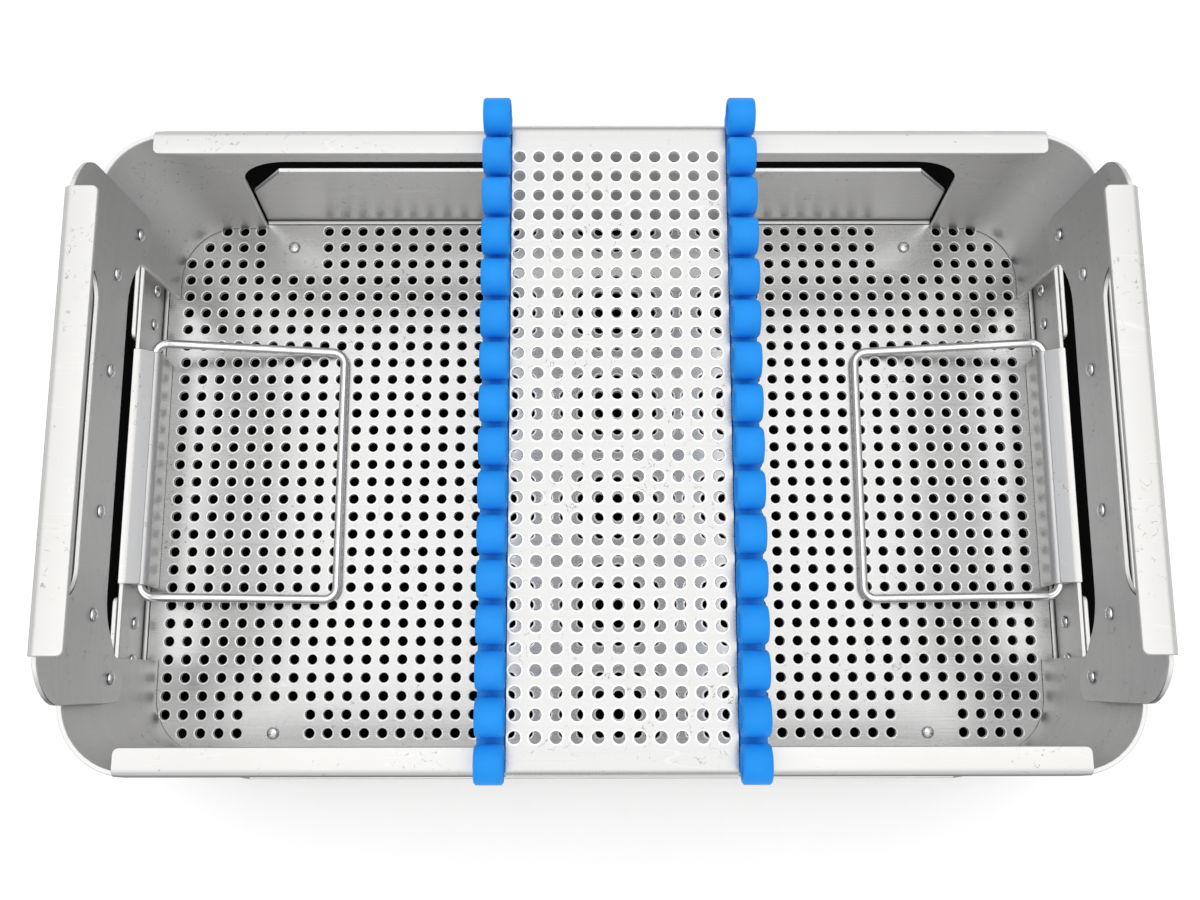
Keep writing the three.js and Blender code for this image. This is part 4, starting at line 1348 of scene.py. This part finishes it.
def strip_mesh(b, g, side):
    """A silicone strip: base bar, hollow rolls and the tongue under the plate."""
    low = b.deck + b.rim + b.gap
    top = low + g.base
    middle = top + g.loop_lift
    dip = math.degrees(math.asin(g.loop_lift / g.loop_radius))
    foot = math.sqrt(g.loop_radius**2 - g.loop_lift**2)
    end = (g.loops - 1) / 2 * g.loop_pitch
    outline = [(-end - foot, low), (end + foot, low)]
    holes = []
    for i in range(g.loops):
        y = end - i * g.loop_pitch
        outline += arc(y, middle, g.loop_radius, -dip, 180 + dip, ROLL_STEPS)
        holes.append(circle(y, middle, g.loop_bore, ROLL_BORE_SIDES))
    inner = g.x + side * g.half
    centre = inner + side * g.strip / 2
    rolls = flat_solid(outline, holes, g.strip, g.loop_edge)
    fold(rolls, lambda u, v, w: Vector((centre + w, u + g.strip_shift, v)))
    reach = b.width / 2 - g.setback
    ceiling = b.deck + b.rim + g.rise - g.sheet - b.gap
    tip, root = sorted((inner - side * g.tongue, inner + side * g.loop_edge * 1.5))
    corners = [(tip, -reach), (root, -reach), (root, reach), (tip, reach)]
    tongue = flat_solid(corners, [], ceiling - low, b.edge)
    lift = (ceiling + low) / 2
    fold(tongue, lambda u, v, w: Vector((u, v, lift + w)))
    return as_mesh("strip", [rolls, tongue])


def rivets_mesh(places, grip, tilt):
    """Rivets whose heads' undersides sit at the given places."""
    p = bpy.context.scene.container_plate
    mesh = bpy.data.meshes.new("places")
    mesh.from_pydata(places, [], [])
    values = {
        "Head Radius": p.head,
        "Head Height": p.head_height,
        "Shank Radius": p.shank,
        "Grip": grip,
        "Tail Radius": p.tail,
        "Tail Height": p.tail_height,
        "Tilt": tilt,
        "Material": steel("bright_wire"),
    }
    return closed(evaluated("rivet_places", mesh, shared("rivets"), values))


def joined(meshes):
    whole = bmesh.new()
    for mesh in meshes:
        whole.from_mesh(mesh)
    result = bpy.data.meshes.new("joined")
    whole.to_mesh(result)
    whole.free()
    return result


# ---------------------------------------------------------------- operators


class CONTAINER_OT_walls(bpy.types.Operator):
    """Build the wall ring with its two rims"""

    bl_idname = "container.walls"
    bl_label = "Wall Ring"

    def execute(self, context):
        b = context.scene.container_basket
        nodes = [f"{name}_wall" for name in ("front", "back", "left", "right")]
        nodes += [f"{end}_{way}_corner" for end, _ in ENDS for way, _ in WAYS]
        add_sheet("wall_ring", ring_mesh(b), *nodes)
        return {"FINISHED"}


class CONTAINER_OT_end_plates(bpy.types.Operator):
    """Build the two riveted end plates"""

    bl_idname = "container.end_plates"
    bl_label = "End Plates"

    def execute(self, context):
        scene = context.scene
        for name, side in ENDS:
            mesh = end_plate_mesh(scene.container_basket, scene.container_plate, side)
            add_sheet(f"{name}_plate", mesh, f"{name}_end_plate")
        return {"FINISHED"}


class CONTAINER_OT_tray(bpy.types.Operator):
    """Build the perforated floor, its flanges, doublers and feet"""

    bl_idname = "container.tray"
    bl_label = "Floor Tray"

    def execute(self, context):
        b, t = context.scene.container_basket, context.scene.container_tray
        add_perforated("perforated_floor", floor_mesh(b, t), "basket", "floor_sheet")
        for name, side in ENDS:
            add_sheet(f"{name}_end_flange", end_flange_mesh(b, t, side), f"{name}_flange")
            for where, way in WAYS:
                node = f"{name}_{where}_doubler"
                add_sheet(f"{node}_sheet", doubler_mesh(b, t, side, way), node)
                node = f"{name}_{where}_foot"
                add_sheet(f"{node}_turned", foot_mesh(b, t, side, way), node)
        for name, way in WAYS:
            add_sheet(f"{name}_side_flange", side_flange_mesh(b, t, way), f"{name}_flange")
        return {"FINISHED"}


class CONTAINER_OT_rivets(bpy.types.Operator):
    """Set all rivets of plates, flanges and feet"""

    bl_idname = "container.rivets"
    bl_label = "Rivets"

    def execute(self, context):
        scene = context.scene
        b, p, t = scene.container_basket, scene.container_plate, scene.container_tray
        plate = [(y, z) for y, z in rivet_places(p, b) if abs(y) < p.crease]
        wings = [(y, z) for y, z in rivet_places(p, b) if abs(y) > p.crease]

        def at_ends(x, places):
            return [at_end((x, y, z), side, b.shift) for _, side in ENDS for y, z in places]

        seat = plate_x(b) - b.sheet - b.gap
        level = at_ends(seat, plate)
        level += at_ends(b.length / 2 + t.end_gap - b.gap, flange_rivet_places(t, b))
        deeper = wing_set(p, p.lower_far + p.head)
        upright = [place + Vector((0, 0, b.deck + b.gap)) for place in foot_places(t)]
        grip = 2 * b.sheet + 3 * b.gap
        meshes = [
            rivets_mesh(level, grip, -QUARTER),
            rivets_mesh(at_ends(seat - deeper, wings), grip + deeper, -QUARTER),
            rivets_mesh(upright, b.deck + b.gap - t.pocket_depth + b.gap, 0.0),
        ]
        nodes = []
        for name, _ in ENDS:
            nodes += [f"{name}_plate_rivet_{letter}" for letter in "abcdef"]
            nodes += [f"{name}_flange_rivet_{letter}" for letter in "abcd"]
            nodes += [f"{name}_{where}_foot_rivet" for where, _ in WAYS]
        wire = steel("bright_wire")
        mesh = joined(meshes)
        add_piece("rivets", mesh, wire, "basket", nodes, ROUND_SHARP)
        return {"FINISHED"}


class CONTAINER_OT_handles(bpy.types.Operator):
    """Build the brackets, the clasps and the wire handles"""

    bl_idname = "container.handles"
    bl_label = "Drop Handles"

    def execute(self, context):
        scene = context.scene
        b, t, h = scene.container_basket, scene.container_tray, scene.container_handle
        for name, side in ENDS:
            mesh = bracket_mesh(b, t, h, side)
            add_sheet(f"{name}_bracket_leaf", mesh, f"{name}_bracket", finish="plain_steel")
            mesh = clasp_mesh(b, t, h, side)
            add_sheet(f"{name}_rolled_clasp", mesh, f"{name}_clasp", finish="plain_steel")
            mesh = handle_mesh(b, t, h, side)
            node = f"{name}_handle"
            add_piece(f"{name}_wire", mesh, steel("bright_wire"), node, [node])
        return {"FINISHED"}


class CONTAINER_OT_bridge(bpy.types.Operator):
    """Build the perforated bridge plate and its two silicone strips"""

    bl_idname = "container.bridge"
    bl_label = "Bridge and Strips"

    def execute(self, context):
        b, g = context.scene.container_basket, context.scene.container_bridge
        add_perforated("perforated_bridge", bridge_mesh(b, g), "bridge", "bridge_plate")
        for name, side in ENDS:
            mesh = strip_mesh(b, g, side)
            nodes = [f"{name}_silicone_strip"]
            material = silicone()
            add_piece(f"{name}_rolls", mesh, material, "bridge", nodes, ROUND_SHARP)
        return {"FINISHED"}


class CONTAINER_OT_stage(bpy.types.Operator):
    """Set up the camera, the light and the pale floor with its painted shadow"""

    bl_idname = "container.stage"
    bl_label = "Stage"

    def execute(self, context):
        scene = context.scene
        look = scene.container_look
        scene.view_settings.view_transform = "Standard"
        lens = bpy.data.cameras.new("camera")
        lens.lens = CAMERA_LENS
        lens.sensor_width = 36.0
        lens.shift_x = CAMERA_SHIFT
        camera = bpy.data.objects.new("camera", lens)
        camera.location = CAMERA_PLACE
        camera.rotation_euler = [math.radians(a) for a in CAMERA_DEGREES]
        scene.collection.objects.link(camera)
        scene.camera = camera
        mesh = bpy.data.meshes.new("stage_floor")
        r = FLOOR_REACH
        mesh.from_pydata([(-r, -r, 0), (r, -r, 0), (r, r, 0), (-r, r, 0)], [], [(0, 1, 2, 3)])
        mesh.materials.append(stage_material(look))
        floor = bpy.data.objects.new("stage_floor", mesh)
        scene.collection.objects.link(floor)
        scene.world = studio(look)
        return {"FINISHED"}


def studio(look):
    """A sky brightest overhead, white where the camera sees it."""
    world = bpy.data.worlds.new("studio")
    world.use_nodes = True
    t = Tree(world.node_tree)
    up = t.axes(t.shader("TexCoord", out="Generated"))["Z"]
    sky = t.band(up, *SKY_HEIGHTS, look.horizon, look.zenith)
    seen = t.shader("LightPath", out="Is Camera Ray")
    shown = t.band(seen, 0.0, 1.0, sky, 1.0)
    t.fill(t.tree.nodes["Background"], {"Color": (1.0, 1.0, 1.0, 1.0), "Strength": shown})
    return world


def stage_material(look):
    """A pale floor with a painted shadow: a near-black zone under the basket, a little longer and
    deeper than it is.
    """
    material, t = new_material("stage_floor")
    where = t.shader("TexCoord", out="Object")
    axes = t.axes(where)

    def past(distance, half):
        """How far a point lies past the zone's core, squared."""
        beyond = t.math("SUBTRACT", t.math("ABSOLUTE", distance), half)
        return t.math("POWER", t.math("MAXIMUM", beyond, 0.0), 2.0)

    across = past(axes["X"], PAINTED_SHADOW_HALF_X)
    along = past(t.math("SUBTRACT", axes["Y"], PAINTED_SHADOW_MIDDLE_Y), PAINTED_SHADOW_HALF_Y)
    reach = t.math("SQRT", t.math("ADD", across, along))
    values = {"Value": reach, "From Min": PAINTED_SHADOW_FADE[0], "From Max": PAINTED_SHADOW_FADE[1]}
    share = t.shader("MapRange", values, interpolation_type="SMOOTHSTEP")
    tone = tuple(look.floor)
    pale = t.mixed(t.noise(where, 40.0, 2.0), tinted(tone, 0.99), tinted(tone, 1.01))
    # Painted shadow: the floor's colour goes near black under and just beside the basket, where
    # shade would fall.
    base = t.mixed(share, PAINTED_SHADOW_TONE, pale)
    t.set({"Roughness": 0.9, "Specular IOR Level": 0.0, "Base Color": base})
    return material


class CONTAINER_PT_panel(bpy.types.Panel):
    """Sizes, looks and build buttons of the container"""

    bl_idname = "CONTAINER_PT_panel"
    bl_label = "Sterilization Container"
    bl_space_type = "VIEW_3D"
    bl_region_type = "UI"
    bl_category = "Container"

    def draw(self, context):
        layout = self.layout
        for operator in OPERATORS:
            layout.operator(operator.bl_idname)
        for attribute in GROUPS:
            group = getattr(context.scene, attribute)
            box = layout.box()
            for name in group.bl_rna.properties.keys():
                if name not in ("rna_type", "name"):
                    box.prop(group, name)


OPERATORS = (
    CONTAINER_OT_walls,
    CONTAINER_OT_end_plates,
    CONTAINER_OT_tray,
    CONTAINER_OT_rivets,
    CONTAINER_OT_handles,
    CONTAINER_OT_bridge,
    CONTAINER_OT_stage,
)


def register():
    for cls in (*GROUPS.values(), *OPERATORS, CONTAINER_PT_panel):
        bpy.utils.register_class(cls)
    for attribute, group in GROUPS.items():
        setattr(bpy.types.Scene, attribute, PointerProperty(type=group))


def unregister():
    for attribute in GROUPS:
        delattr(bpy.types.Scene, attribute)
    for cls in reversed((*GROUPS.values(), *OPERATORS, CONTAINER_PT_panel)):
        bpy.utils.unregister_class(cls)


def main():
    register()
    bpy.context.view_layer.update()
    for operator in OPERATORS:
        group, name = operator.bl_idname.split(".")
        getattr(getattr(bpy.ops, group), name)()


if __name__ == "__main__":
    main()
